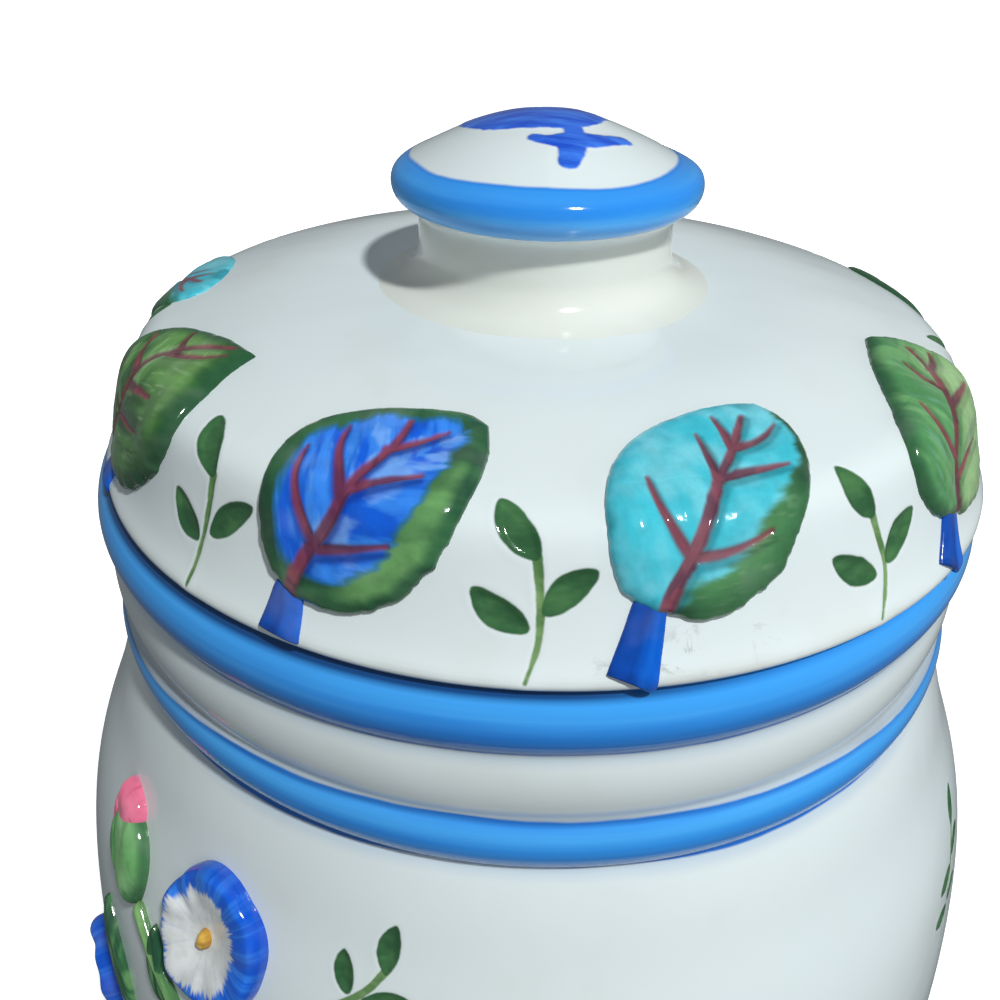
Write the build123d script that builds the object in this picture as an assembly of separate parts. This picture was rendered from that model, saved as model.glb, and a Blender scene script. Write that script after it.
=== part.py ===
from build123d import *
import os
from math import sin, cos, radians, hypot, pi, log

# Lidded, slip-cast storage jar, glazed, with raised leaf and flower relief.
# Millimetres. +Z up, origin on the floor under the centre of the foot ring.
# Azimuths are measured from the front (-Y) towards +X.

os.makedirs("parts", exist_ok=True)

# ------------------------------------------------------------------ dimensions
WALL = 5.0              # cast wall of the belly
FOOT_R_OUT = 64.0       # foot ring, outer radius of the flat
FOOT_R_IN = 57.5        # foot ring, inner radius of the flat
FOOT_DEPTH = 3.0        # recess under the base
FLOOR_Z = 9.0           # inside floor of the jar
BELLY_R = 85.4          # widest radius
BELLY_Z = 64.0          # height of the widest radius
RIM_Z = 166.5           # flat seat of the mouth
RIM_R_OUT = 67.2        # outer edge of the seat
MOUTH_R = 60.5          # clear radius of the mouth
FLANGE_R = 59.0         # outer radius of the lid's locating ring
FLANGE_WALL = 4.5
FLANGE_DROP = 9.0       # how far the ring reaches into the mouth
LID_EDGE_R = 68.8       # lid's outer edge
LID_EDGE_Z = 167.6
LID_FOOT = 0.9          # leaves and stalks are set out from this far above the edge
LID_TOP_Z = 190.0       # flat under the knob
VENT_R = 2.5            # vent from the hollow knob into the lid
KNOB_FOOT_R = 23.6
KNOB_R = 23.1
KNOB_TOP_Z = 214.3
BOND = 0.02             # slip line between the wall and what is stuck to it
LEAF_T = 1.8            # raised height of a lid leaf
BACK_LEAF_T = 0.9       # the two at the back sides are lower
REAR_LEAF_T = 0.6       # the three behind the knob are lowest and thinnest
STALK_T = 0.9
PETAL_T = 2.6
EYE_T = 1.5
BUD_T = 3.2
STEM_T = 1.4
BLADE_T = 1.5

# ------------------------------------------------------------------ profiles
# outside of the belly, foot to shoulder (r, z)
BELLY = [(65.2, 1.2), (70.4, 7.0), (76.6, 18.0), (81.3, 32.0), (84.3, 48.0), (BELLY_R, BELLY_Z), (85.0, 76.0), (83.9, 88.0), (82.6, 97.0), (80.6, 106.2), (77.7, 114.7), (74.3, 123.0), (71.4, 131.0), (69.0, 136.4)]
# outside of the lid, knob seat to lid edge
DOME = [(24.0, LID_TOP_Z), (30.0, 189.95), (36.0, 189.76), (40.0, 189.42), (44.0, 188.82), (48.4, 187.88), (53.5, 186.58), (57.4, 185.48), (60.0, 184.48), (61.75, 183.02), (62.85, 181.05), (63.65, 178.85), (64.45, 176.6), (65.35, 174.2), (66.6, 171.3), (67.6, 169.4), (LID_EDGE_R, LID_EDGE_Z)]


def xz(pts):
    return [(r, 0, z) for r, z in pts]


belly_edge = Spline(*xz(BELLY))
dome_edge = Spline(*xz(DOME), tangents=[(1, 0, 0), (0.6, 0, -1)])


def turn(edges):
    face = make_face(Wire(edges) if not isinstance(edges, Wire) else edges)
    return revolve(face, axis=Axis.Z)


def poly(*pts):
    return [Line((a[0], 0, a[1]), (b[0], 0, b[1])) for a, b in zip(pts, pts[1:])]


def arc(a, m, b):
    return ThreePointArc((a[0], 0, a[1]), (m[0], 0, m[1]), (b[0], 0, b[1]))


# ------------------------------------------------------------------ jar body
sh = BELLY[-1]
groove = (68.1, 137.3)
low_top = (68.2, 146.1)
white_top = (68.5, 157.1)
inner = [(MOUTH_R, 151.0), (61.6, 146.0), (63.6, 138.5), (66.2, 130.6), (69.2, 121.6), (72.9, 112.6), (75.7, 104.4), (77.6, 96.0), (78.9, 87.2), (80.0, 75.6), (BELLY_R - WALL, BELLY_Z), (79.3, 48.6), (76.2, 33.6), (72.0, 20.6), (65.6, 11.8), (58.0, FLOOR_Z)]
jar_edges = (
    poly((0, FOOT_DEPTH), (FOOT_R_IN - 2.0, FOOT_DEPTH), (FOOT_R_IN, 0), (FOOT_R_OUT, 0), BELLY[0])
    + [belly_edge]
    + poly(sh, groove)
    + [
        arc(groove, (70.0, 141.7), low_top),
        arc(low_top, (69.3, 152.0), white_top),
        arc(white_top, (69.9, 161.8), (RIM_R_OUT, RIM_Z)),
    ]
    + poly((RIM_R_OUT, RIM_Z), (MOUTH_R + 0.8, RIM_Z), (MOUTH_R, RIM_Z - 0.8), (MOUTH_R, 151.0))
    + [Spline(*xz(inner), tangents=[(0, 0, -1), (-1, 0, 0)])]
    + poly((58.0, FLOOR_Z), (0, FLOOR_Z), (0, FOOT_DEPTH))
)
jar_body = turn(jar_edges)

# ------------------------------------------------------------------ lid
fl_in = FLANGE_R - FLANGE_WALL
under = [(fl_in, 168.0), (54.9, 172.6), (54.0, 176.6), (51.4, 179.4), (47.4, 181.3), (42.2, 182.7), (36.0, 183.8), (29.0, 184.5), (22.0, 184.8)]
lid_edges = (
    poly((VENT_R, 184.8), (VENT_R, LID_TOP_Z), (24.0, LID_TOP_Z))
    + [dome_edge]
    + [arc((LID_EDGE_R, LID_EDGE_Z), (68.62, 166.87), (67.9, RIM_Z))]
    + poly((67.9, RIM_Z), (FLANGE_R, RIM_Z), (FLANGE_R, RIM_Z - FLANGE_DROP + 0.8), (FLANGE_R - 0.8, RIM_Z - FLANGE_DROP), (fl_in + 0.8, RIM_Z - FLANGE_DROP), (fl_in, RIM_Z - FLANGE_DROP + 0.8), (fl_in, 168.0))
    + [Spline(*xz(under), tangents=[(0, 0, 1), (-1, 0, 0)])]
    + poly((22.0, 184.8), (VENT_R, 184.8))
)
lid_shell = turn(lid_edges)

# ------------------------------------------------------------------ knob, hollow, open to the vent
kz = LID_TOP_Z + BOND
foot_fillet = arc((KNOB_FOOT_R, kz + 0.6), (20.6, 192.2), (19.3, 195.4))
cap = Spline(
    *xz([(19.2, 200.6), (20.4, 201.7), (22.2, 202.7), (KNOB_R, 204.7), (22.7, 206.5), (21.3, 207.9), (18.6, 209.4), (14.5, 211.3), (9.0, 213.1), (0, KNOB_TOP_Z)]),
    tangents=[(0, 0, 1), (-1, 0, 0)],
)
hollow = Spline(*xz([(VENT_R, 193.8), (9.0, 194.6), (13.2, 198.0), (15.6, 203.0), (12.5, 206.8), (0, 209.6)]), tangents=[(1, 0, 0), (-1, 0, 0)])
knob_edges = (
    poly((VENT_R, 193.8), (VENT_R, kz), (KNOB_FOOT_R, kz), (KNOB_FOOT_R, kz + 0.6))
    + [foot_fillet]
    + poly((19.3, 195.4), (19.2, 200.6))
    + [cap]
    + poly((0, KNOB_TOP_Z), (0, 209.6))
    + [hollow]
)
lid_knob = turn(knob_edges)

# ------------------------------------------------------------------ relief helpers
def sample(edge, n=400):
    """Points and outward normals along a profile edge, with arc length."""
    out, s, last = [], 0.0, None
    for i in range(n + 1):
        p, t = edge @ (i / n), edge % (i / n)
        if last is not None:
            s += hypot(p.X - last.X, p.Z - last.Z)
        last = p
        out.append((s, p.X, p.Z, t.X, t.Z))
    return out


dome_tab = sample(dome_edge)
DOME_LEN = dome_tab[-1][0]
belly_tab = sample(belly_edge)


def at(tab, key, col):
    """Row of a profile table where column col reaches key."""
    for a, b in zip(tab, tab[1:]):
        if (a[col] - key) * (b[col] - key) <= 0 and a[col] != b[col]:
            w = (key - a[col]) / (b[col] - a[col])
            return [x + w * (y - x) for x, y in zip(a, b)]
    return min(tab, key=lambda q: abs(q[col] - key))


def lid_row(s):
    """Lid profile at s mm up from the foot of the relief; outward normal (nr, nz)."""
    q = at(dome_tab, DOME_LEN - LID_FOOT - s, 0)
    m = hypot(q[3], q[4])
    return q[1], q[2], -q[4] / m, q[3] / m


BELLY_S0 = at(belly_tab, 60.0, 2)[0]


def belly_row(s):
    """Belly profile at s mm up the wall from z = 60; outward normal."""
    q = at(belly_tab, BELLY_S0 + s, 0)
    m = hypot(q[3], q[4])
    return q[1], q[2], q[4] / m, -q[3] / m


def belly_s(z):
    return at(belly_tab, z, 2)[0] - BELLY_S0


def on(row, th, s):
    r, z, nr, nz = row(s)
    a = radians(th)
    return Vector(r * sin(a), -r * cos(a), z), Vector(nr * sin(a), -nr * cos(a), nz)


def shell(row, s0, s1, t0, t1, th, span):
    """Skin from t0 to t1 above the wall, over s0..s1 and th +- span degrees."""
    n = 36
    lo, hi = [], []
    for i in range(n + 1):
        r, z, nr, nz = row(s0 + (s1 - s0) * i / n)
        lo.append((r + t0 * nr, z + t0 * nz))
        hi.append((r + t1 * nr, z + t1 * nz))
    edges = [Spline(*xz(lo))] + poly(lo[-1], hi[-1]) + [Spline(*xz(hi))] + poly(hi[0], lo[0])
    solid = revolve(make_face(Wire(edges)), axis=Axis.Z, revolution_arc=2 * span)
    return Rot(0, 0, th - 90 - span) * solid


def prism(row, th0, s_mid, outline, depth=14.0, smooth=True, corner=False):
    """Column over an outline of (x, s) points: x along the wall at th0. A corner is left at the first point."""
    c, nrm = on(row, th0, s_mid)
    a = radians(th0)
    pl = Plane(origin=c, x_dir=Vector(cos(a), sin(a), 0), z_dir=nrm)
    pts = []
    for x, s in outline:
        r = row(s)[0]
        p, _ = on(row, th0 + x / r * 180 / pi, s)
        q = pl.to_local_coords(p)
        pts.append((q.X, q.Y, 0))
    if corner:
        wire = Wire([Spline(*pts, pts[0])])
    elif smooth:
        wire = Wire([Spline(*pts, periodic=True)])
    else:
        wire = Wire([Line(p, q) for p, q in zip(pts, pts[1:] + pts[:1])])
    return pl * extrude(make_face(wire), amount=depth, both=True)


def solids_of(shape):
    return sorted(shape.solids(), key=lambda k: -k.volume)


def leaf_outline(base, tip, width, n=22, peak=0.46, blunt=0.5):
    """Ovate leaf from base to tip: full near the base, drawn to the tip."""
    bx, bs = base
    dx, ds = tip[0] - bx, tip[1] - bs
    ln = hypot(dx, ds)
    ux, us = dx / ln, ds / ln
    half = []
    for i in range(n + 1):
        u = i / n
        w = sin(pi * u ** (log(0.5) / log(peak))) ** blunt if 0 < u < 1 else 0.0
        half.append((u, w * width / 2))
    left = [(bx + ux * u * ln - us * w, bs + us * u * ln + ux * w) for u, w in half]
    right = [(bx + ux * u * ln + us * w, bs + us * u * ln - ux * w) for u, w in half]
    return left + right[-2:0:-1]


def strip(path, w0, w1):
    """Flat strip along (x, s) points, from width w0 to w1."""
    left, right = [], []
    for i, (x, s) in enumerate(path):
        a, b = path[max(0, i - 1)], path[min(len(path) - 1, i + 1)]
        ln = hypot(b[0] - a[0], b[1] - a[1])
        nx, ns = -(b[1] - a[1]) / ln, (b[0] - a[0]) / ln
        w = (w0 + (w1 - w0) * i / (len(path) - 1)) / 2
        left.append((x + nx * w, s + ns * w))
        right.append((x - nx * w, s - ns * w))
    return left + right[::-1]


def relief(row, th0, outline, t1, t0=BOND, smooth=True, minus=(), corner=False):
    """Raised piece: the wall's skin inside an outline, less what it butts on."""
    ss = [s for _, s in outline]
    xs = [abs(x) for x, _ in outline]
    mid = (min(ss) + max(ss)) / 2
    span = max(xs) / row(mid)[0] * 180 / pi + 8
    skin = shell(row, max(0.05 - LID_FOOT, min(ss) - 1.0) if row is lid_row else min(ss) - 1.0, max(ss) + 1.0, t0, t1, th0, span)
    col = prism(row, th0, mid, outline, smooth=smooth, corner=corner)
    got = skin & col
    for m in minus:
        got = got - m
    return got, col


def biggest(shape):
    return solids_of(shape)[0]


# ------------------------------------------------------------------ leaves and stalks on the lid
# Outlines run from the tip round the left edge, past the stalk and back up the right edge, as (x, s).
FULL_LEAF = [(9.4, 31.0), (7.0, 32.5), (2.6, 32.8), (-3.2, 31.4), (-8.6, 28.2), (-12.2, 23.8), (-13.3, 18.0), (-13.0, 12.2), (-11.2, 7.4), (-8.0, 4.6), (-5.2, 4.2), (-0.8, 4.1), (4.2, 5.9), (8.2, 9.8), (10.6, 14.6), (11.6, 20.5), (10.9, 27.0)]
ROUND_LEAF = [(11.2, 31.6), (6.8, 32.8), (1.2, 32.4), (-4.6, 30.2), (-9.4, 25.8), (-12.3, 20.6), (-13.5, 14.8), (-12.4, 9.6), (-9.2, 7.3), (-6.4, 6.4), (-2.6, 5.5), (2.0, 7.0), (6.4, 9.6), (9.0, 13.8), (11.9, 18.2), (13.9, 23.2), (13.5, 28.2)]
BROAD_LEAF = [(8.0, 30.4), (1.6, 28.6), (-3.6, 25.8), (-8.2, 22.4), (-12.4, 19.2), (-15.0, 15.2), (-14.4, 10.6), (-11.4, 6.6), (-7.3, 5.0), (-2.4, 3.4), (3.4, 3.2), (8.0, 5.8), (10.8, 11.0), (12.6, 17.0), (13.2, 22.4), (11.6, 27.0)]
CURLED_LEAF = [(5.8, 31.0), (-1.4, 29.8), (-7.2, 27.2), (-12.2, 23.8), (-14.6, 19.0), (-13.8, 12.6), (-10.8, 6.8), (-6.0, 3.0), (-1.0, 2.4), (4.0, 3.6), (8.2, 6.8), (11.4, 10.4), (12.7, 14.2), (11.8, 19.0), (9.4, 23.2), (7.0, 27.4)]


def lower(shape, top, foot=3.2, wide=1.0):
    """The same leaf drawn shorter, between foot and top."""
    lo, hi = min(q for _, q in shape), max(q for _, q in shape)
    return [(x * wide, foot + (q - lo) * (top - foot) / (hi - lo)) for x, q in shape]


# name, azimuth of the middle, outline, where the stalk meets it, raised height, sideways lean of the stalk
LID_LEAVES = [
    ("lid_leaf_left", -58.7, CURLED_LEAF, (-6.2, 3.0), LEAF_T, -1.4),
    ("lid_leaf_front_left", -18.0, FULL_LEAF, (-8.0, 4.6), LEAF_T, -0.5),
    ("lid_leaf_front_right", 19.7, ROUND_LEAF, (-9.2, 7.3), LEAF_T, -3.3),
    ("lid_leaf_right", 61.0, BROAD_LEAF, (-7.3, 5.0), LEAF_T, -4.4),
    ("lid_leaf_back_right", 106.0, lower(FULL_LEAF, 20.4, wide=0.92), (-7.2, 3.7), BACK_LEAF_T, -1.4),
    ("lid_leaf_rear_right", 144.0, lower(ROUND_LEAF, 18.0, wide=0.84), (-7.2, 4.1), REAR_LEAF_T, -2.2),
    ("lid_leaf_rear", -178.0, lower(CURLED_LEAF, 18.0, wide=0.84), (-5.2, 3.5), REAR_LEAF_T, -1.4),
    ("lid_leaf_rear_left", -138.5, lower(FULL_LEAF, 18.0, wide=0.84), (-6.6, 3.5), REAR_LEAF_T, -0.8),
    ("lid_leaf_back_left", -99.0, lower(ROUND_LEAF, 27.0, wide=0.96), (-8.3, 4.7), BACK_LEAF_T, -1.4),
]
nodes = {"jar_body": jar_body, "lid_shell": lid_shell, "lid_knob": lid_knob}
stalks = []
for name, th, outline, (bx, bs), rise, lean in LID_LEAVES:
    leaf, col = relief(lid_row, th, outline, rise, corner=True)
    nodes[name] = biggest(leaf)
    stalk, _ = relief(lid_row, th, strip([(bx + lean, 0.5 - LID_FOOT), (bx + 0.45 * lean, 0.3 + 0.55 * bs), (bx + 0.1, bs + 2.0)], 5.8, 3.6), STALK_T, smooth=False, minus=(col,))
    stalks.append(biggest(stalk))
nodes["lid_leaf_stalks"] = Compound(children=stalks)


# ------------------------------------------------------------------ bouquets on the belly
def round_outline(s_mid, rad, lobes=5, dip=0.06, n=40):
    out = []
    for i in range(n):
        a = 2 * pi * i / n
        q = rad * (1 - dip * (0.5 - 0.5 * cos(lobes * a)))
        out.append((q * sin(a), s_mid + q * cos(a)))
    return out


def local(th0, th, z):
    """(x, s) of a place on the belly, seen from azimuth th0."""
    s = belly_s(z)
    return ((th - th0) * pi / 180 * belly_row(s)[0], s)


def bouquet(side, turn_by):
    up, low = (-33.2, 114.2, 10.8), (-62.0, 66.4, 10.4)
    cols, eyes = [], []
    for label, (th, z, rad) in (("upper", up), ("lower", low)):
        s = belly_s(z)
        petals, col = relief(belly_row, th + turn_by, round_outline(s, rad), PETAL_T)
        nodes[f"{side}_flower_{label}"] = biggest(petals)
        cols.append(col)
        eye, _ = relief(belly_row, th + turn_by, round_outline(s, 1.9, 3, 0.0), PETAL_T + BOND + EYE_T, t0=PETAL_T + BOND)
        eyes.append(biggest(eye))
    nodes[f"{side}_flower_eyes"] = Compound(children=eyes)

    petals, calyxes = [], []
    for th0, base, tip, w in ((-50.0, (-46.4, 107.8), (-53.6, 123.4), 9.2), (-13.0, (-17.0, 82.0), (-9.0, 95.5), 8.4)):
        b, t = local(th0, *base), local(th0, *tip)
        mix = lambda u: (b[0] + (t[0] - b[0]) * u, b[1] + (t[1] - b[1]) * u)
        calyx, ccol = relief(belly_row, th0 + turn_by, leaf_outline(b, mix(0.76), w, blunt=0.6), BUD_T)
        bud, _ = relief(belly_row, th0 + turn_by, leaf_outline(mix(0.44), t, w * 0.84, blunt=0.7), BUD_T - 0.2, minus=(ccol,))
        calyxes.append(biggest(calyx))
        petals.append(biggest(bud))
        cols.append(ccol)
    nodes[f"{side}_bud_petals"] = Compound(children=petals)
    nodes[f"{side}_bud_calyxes"] = Compound(children=calyxes)

    th0 = -35.0
    paths = (
        ((-31.0, 56.0), (-31.6, 68.0), (-32.4, 84.0), (-33.2, 104.6)),
        ((-31.4, 56.0), (-32.6, 72.0), (-34.6, 88.0), (-37.6, 98.6), (-41.8, 103.6), (-46.3, 108.4)),
        ((-31.8, 56.0), (-34.8, 60.8), (-42.0, 64.0), (-49.0, 65.4), (-56.0, 66.0)),
        ((-30.6, 56.0), (-28.6, 66.0), (-23.6, 75.0), (-16.8, 82.6)),
    )
    stems, scols = [], []
    for path in paths:
        piece, col = relief(belly_row, th0 + turn_by, strip([local(th0, *p) for p in path], 3.0, 2.0), STEM_T, smooth=False, minus=tuple(cols + scols))
        stems.append(biggest(piece))
        scols.append(col)
    nodes[f"{side}_bouquet_stems"] = Compound(children=stems)

    blades = []
    for bth, base, tip, w in (
        (-43.0, (-40.2, 96.0), (-45.0, 109.5), 4.8),
        (-52.0, (-47.6, 83.0), (-55.2, 98.6), 5.8),
        (-22.0, (-29.4, 63.6), (-14.6, 68.6), 7.6),
        (-40.0, (-33.8, 58.2), (-48.6, 55.2), 7.2),
    ):
        blade, _ = relief(belly_row, bth + turn_by, leaf_outline(local(bth, *base), local(bth, *tip), w, blunt=0.7), BLADE_T, minus=tuple(cols + scols))
        blades.append(biggest(blade))
    nodes[f"{side}_bouquet_leaves"] = Compound(children=blades)


bouquet("front", 0.0)
bouquet("back", 180.0)

for name, shape in nodes.items():
    shape.label = name
    export_step(shape, f"parts/{name}.step")
    box = shape.bounding_box()
    print(f"{name:24s} solids {len(shape.solids())} volume {shape.volume:9.1f} low {box.min.Z:6.1f} high {box.max.Z:6.1f}")
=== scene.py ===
import math

import bpy
import numpy as np
from mathutils import Matrix, Vector


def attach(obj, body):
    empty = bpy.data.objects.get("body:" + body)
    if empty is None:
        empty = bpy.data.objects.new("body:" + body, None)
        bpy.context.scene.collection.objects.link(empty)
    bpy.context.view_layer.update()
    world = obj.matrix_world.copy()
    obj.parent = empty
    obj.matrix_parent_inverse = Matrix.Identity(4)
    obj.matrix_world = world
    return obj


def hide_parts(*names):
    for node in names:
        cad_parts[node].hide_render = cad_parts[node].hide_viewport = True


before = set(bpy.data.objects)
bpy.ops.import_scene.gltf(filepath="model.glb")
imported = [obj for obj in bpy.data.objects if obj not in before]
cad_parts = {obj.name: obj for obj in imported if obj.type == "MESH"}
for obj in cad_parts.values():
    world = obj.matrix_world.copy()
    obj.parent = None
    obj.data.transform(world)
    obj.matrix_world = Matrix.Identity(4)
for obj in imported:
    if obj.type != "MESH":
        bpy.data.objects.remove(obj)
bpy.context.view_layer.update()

# A lidded, glazed earthenware jar with painted relief. Lengths below are in millimetres; meshes are written in metres.
# Azimuths run from the front (-Y) towards +X. On the lid, s is measured up the wall from 0.9 above the lid's edge;
# on the belly, s is measured up the wall from z = 60.

D = math.pi / 180


# ---------------------------------------------------------------- small helpers
def sm(a, b, x):
    t = np.clip((np.asarray(x, float) - a) / (b - a), 0, 1)
    return t * t * (3 - 2 * t)


def _hash(i, j, k, seed):
    n = (i * 374761393 + j * 668265263 + k * 1442695041 + seed * 1274126177) & 0xFFFFFFFF
    n = ((n ^ (n >> 13)) * 1274126177) & 0xFFFFFFFF
    n = ((n ^ (n >> 15)) * 668265263) & 0xFFFFFFFF
    return ((n ^ (n >> 16)) & 0xFFFFFFFF) / 2147483647.5 - 1.0


def noise(x, y, z=0.0, seed=0):
    """Smooth value noise, -1 to 1."""
    x, y, z = np.broadcast_arrays(np.asarray(x, float), np.asarray(y, float), np.asarray(z, float))
    i, j, k = (np.floor(a).astype(np.int64) for a in (x, y, z))
    u, v, w = (a - b for a, b in ((x, i), (y, j), (z, k)))
    u, v, w = (a * a * a * (a * (a * 6 - 15) + 10) for a in (u, v, w))
    out = 0.0
    for di in (0, 1):
        for dj in (0, 1):
            for dk in (0, 1):
                wt = (u if di else 1 - u) * (v if dj else 1 - v) * (w if dk else 1 - w)
                out = out + wt * _hash(i + di, j + dj, k + dk, seed)
    return out


def fbm(x, y, z=0.0, seed=0, n=4):
    out, a, f, tot = 0.0, 1.0, 1.0, 0.0
    for o in range(n):
        out = out + a * noise(np.asarray(x) * f, np.asarray(y) * f, np.asarray(z) * f, seed + 17 * o)
        tot += a
        a, f = a * 0.55, f * 2.03
    return out / tot * 1.5


def col(r, g, b):
    """Display colour to linear light."""
    v = np.array([r, g, b], float) / 255
    return np.where(v <= 0.04045, v / 12.92, ((v + 0.055) / 1.055) ** 2.4)


def mixc(a, b, t):
    t = np.asarray(t, float)[:, None]
    return a * (1 - t) + b * t


# ---------------------------------------------------------------- profiles, as (r, z)
def cubic(pts, step=0.1, d0=None, d1=None):
    P = np.array(pts, float)
    t = np.r_[0, np.cumsum(np.hypot(*np.diff(P, axis=0).T))]
    n, h = len(P), np.diff(t)
    A, B = np.zeros((n, n)), np.zeros((n, 2))
    for i in range(1, n - 1):
        A[i, i - 1], A[i, i], A[i, i + 1] = h[i - 1], 2 * (h[i - 1] + h[i]), h[i]
        B[i] = 6 * ((P[i + 1] - P[i]) / h[i] - (P[i] - P[i - 1]) / h[i - 1])
    A[0, 0] = A[-1, -1] = 1
    if d0 is not None:
        A[0, 0], A[0, 1] = 2 * h[0], h[0]
        B[0] = 6 * ((P[1] - P[0]) / h[0] - np.array(d0) / np.hypot(*d0))
    if d1 is not None:
        A[-1, -1], A[-1, -2] = 2 * h[-1], h[-1]
        B[-1] = 6 * (np.array(d1) / np.hypot(*d1) - (P[-1] - P[-2]) / h[-1])
    M = np.linalg.solve(A, B)
    u = np.linspace(0, t[-1], max(2, int(t[-1] / step)))
    i = np.clip(np.searchsorted(t, u, side="right") - 1, 0, n - 2)
    a, b = (t[i + 1] - u) / h[i], (u - t[i]) / h[i]
    return a[:, None] * P[i] + b[:, None] * P[i + 1] + ((a**3 - a)[:, None] * M[i] + (b**3 - b)[:, None] * M[i + 1]) * (h[i] ** 2)[:, None] / 6


def arc3(a, m, b, n=60):
    (ax, ay), (bx, by), (cx, cy) = a, m, b
    d = 2 * (ax * (by - cy) + bx * (cy - ay) + cx * (ay - by))
    ux = ((ax**2 + ay**2) * (by - cy) + (bx**2 + by**2) * (cy - ay) + (cx**2 + cy**2) * (ay - by)) / d
    uy = ((ax**2 + ay**2) * (cx - bx) + (bx**2 + by**2) * (ax - cx) + (cx**2 + cy**2) * (bx - ax)) / d
    rad = math.hypot(ax - ux, ay - uy)
    t0, tm, t1 = (math.atan2(y - uy, x - ux) for x, y in (a, m, b))
    near = lambda t, ref: t - 2 * math.pi * round((t - ref) / (2 * math.pi))
    tm = near(tm, t0)
    t1 = near(t1, tm)
    t = np.linspace(t0, t1, n)
    return np.stack([ux + rad * np.cos(t), uy + rad * np.sin(t)], 1)


class Profile:
    """A turned outline: arc length, place, outward normal and how sharply it bends."""

    def __init__(self, parts, soften=0.35, step=0.1):
        P = np.concatenate([np.array(p, float) for p in parts])
        P = P[np.r_[True, np.hypot(*np.diff(P, axis=0).T) > 1e-6]]
        s = np.r_[0, np.cumsum(np.hypot(*np.diff(P, axis=0).T))]
        u = np.arange(0, s[-1], step)
        Q = np.stack([np.interp(u, s, P[:, 0]), np.interp(u, s, P[:, 1])], 1)
        k = int(4 * soften / step)
        w = np.exp(-0.5 * (np.arange(-k, k + 1) * step / soften) ** 2)
        w /= w.sum()
        pad = np.concatenate([2 * Q[0] - Q[k:0:-1], Q, 2 * Q[-1] - Q[-2 : -k - 2 : -1]])
        Q = np.stack([np.convolve(pad[:, i], w, "valid") for i in (0, 1)], 1)
        self.s = np.r_[0, np.cumsum(np.hypot(*np.diff(Q, axis=0).T))]
        self.r, self.z = Q[:, 0], Q[:, 1]
        d = np.gradient(Q, self.s, axis=0)
        d /= np.hypot(d[:, 0], d[:, 1])[:, None]
        self.nr, self.nz = d[:, 1], -d[:, 0]
        self.turn = np.abs(np.gradient(np.unwrap(np.arctan2(d[:, 1], d[:, 0])), self.s))
        self.len = self.s[-1]

    def at(self, s):
        return tuple(np.interp(s, self.s, a) for a in (self.r, self.z, self.nr, self.nz))

    def find(self, r, z):
        return self.s[np.argmin((self.r - r) ** 2 + (self.z - z) ** 2)]

    def rows(self, coarse, fine=0.25, bend=0.10):
        """Places along the outline, closer together where it bends."""
        want = np.clip(bend / np.maximum(self.turn, 1e-4), fine, coarse)
        k = 25
        low = np.array([want[max(0, i - 8) : i + 9].min() for i in range(len(want))])
        pad = np.r_[np.full(k, low[0]), low, np.full(k, low[-1])]
        want = np.convolve(pad, np.ones(2 * k + 1) / (2 * k + 1), "valid")
        cum = np.r_[0, np.cumsum(0.5 * (1 / want[1:] + 1 / want[:-1]) * np.diff(self.s))]
        n = int(math.ceil(cum[-1]))
        return np.interp(np.linspace(0, cum[-1], n + 1), cum, self.s)


BELLY = [(65.2, 1.2), (70.4, 7.0), (76.6, 18.0), (81.3, 32.0), (84.3, 48.0), (85.4, 64.0), (85.0, 76.0), (83.9, 88.0), (82.6, 97.0), (80.6, 106.2), (77.7, 114.7), (74.3, 123.0), (71.4, 131.0), (69.0, 136.4)]
INNER = [(60.5, 151.0), (61.6, 146.0), (63.6, 138.5), (66.2, 130.6), (69.2, 121.6), (72.9, 112.6), (75.7, 104.4), (77.6, 96.0), (78.9, 87.2), (80.0, 75.6), (80.4, 64.0), (79.3, 48.6), (76.2, 33.6), (72.0, 20.6), (65.6, 11.8), (58.0, 9.0)]
DOME = [(24.0, 190.0), (30.0, 189.95), (36.0, 189.76), (40.0, 189.42), (44.0, 188.82), (48.4, 187.88), (53.5, 186.58), (57.4, 185.48), (60.0, 184.48), (61.75, 183.02), (62.85, 181.05), (63.65, 178.85), (64.45, 176.6), (65.35, 174.2), (66.6, 171.3), (67.6, 169.4), (68.8, 167.6)]
UNDER = [(54.5, 168.0), (54.9, 172.6), (54.0, 176.6), (51.4, 179.4), (47.4, 181.3), (42.2, 182.7), (36.0, 183.8), (29.0, 184.5), (22.0, 184.8)]
CAP = [(19.2, 200.6), (20.4, 201.7), (22.2, 202.7), (23.1, 204.7), (22.7, 206.5), (21.3, 207.9), (18.6, 209.4), (14.5, 211.3), (9.0, 213.1), (0.3, 214.3)]
HOLLOW = [(2.5, 193.8), (9.0, 194.6), (13.2, 198.0), (15.6, 203.0), (12.5, 206.8), (0.3, 209.6)]

JAR = Profile([
    [(0.5, 3.0), (55.5, 3.0), (57.5, 0.0), (64.0, 0.0), (65.2, 1.2)], cubic(BELLY), [(68.1, 137.3)],
    arc3((68.1, 137.3), (70.0, 141.7), (68.2, 146.1)), arc3((68.2, 146.1), (69.3, 152.0), (68.5, 157.1)),
    arc3((68.5, 157.1), (69.9, 161.8), (67.2, 166.5)), [(61.3, 166.5), (60.5, 165.7)],
    cubic(INNER, d0=(0, -1), d1=(-1, 0)), [(0.5, 9.0)],
])
LID = Profile([
    [(2.5, 184.8), (22.0, 184.8)], cubic(UNDER, d0=(0, 1), d1=(-1, 0))[::-1],
    [(54.5, 158.3), (55.3, 157.5), (58.2, 157.5), (59.0, 158.3), (59.0, 166.5), (67.9, 166.5)],
    arc3((67.9, 166.5), (68.62, 166.87), (68.8, 167.6)), cubic(DOME, d0=(1, 0), d1=(0.6, -1))[::-1], [(2.5, 190.0)],
])
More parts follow.
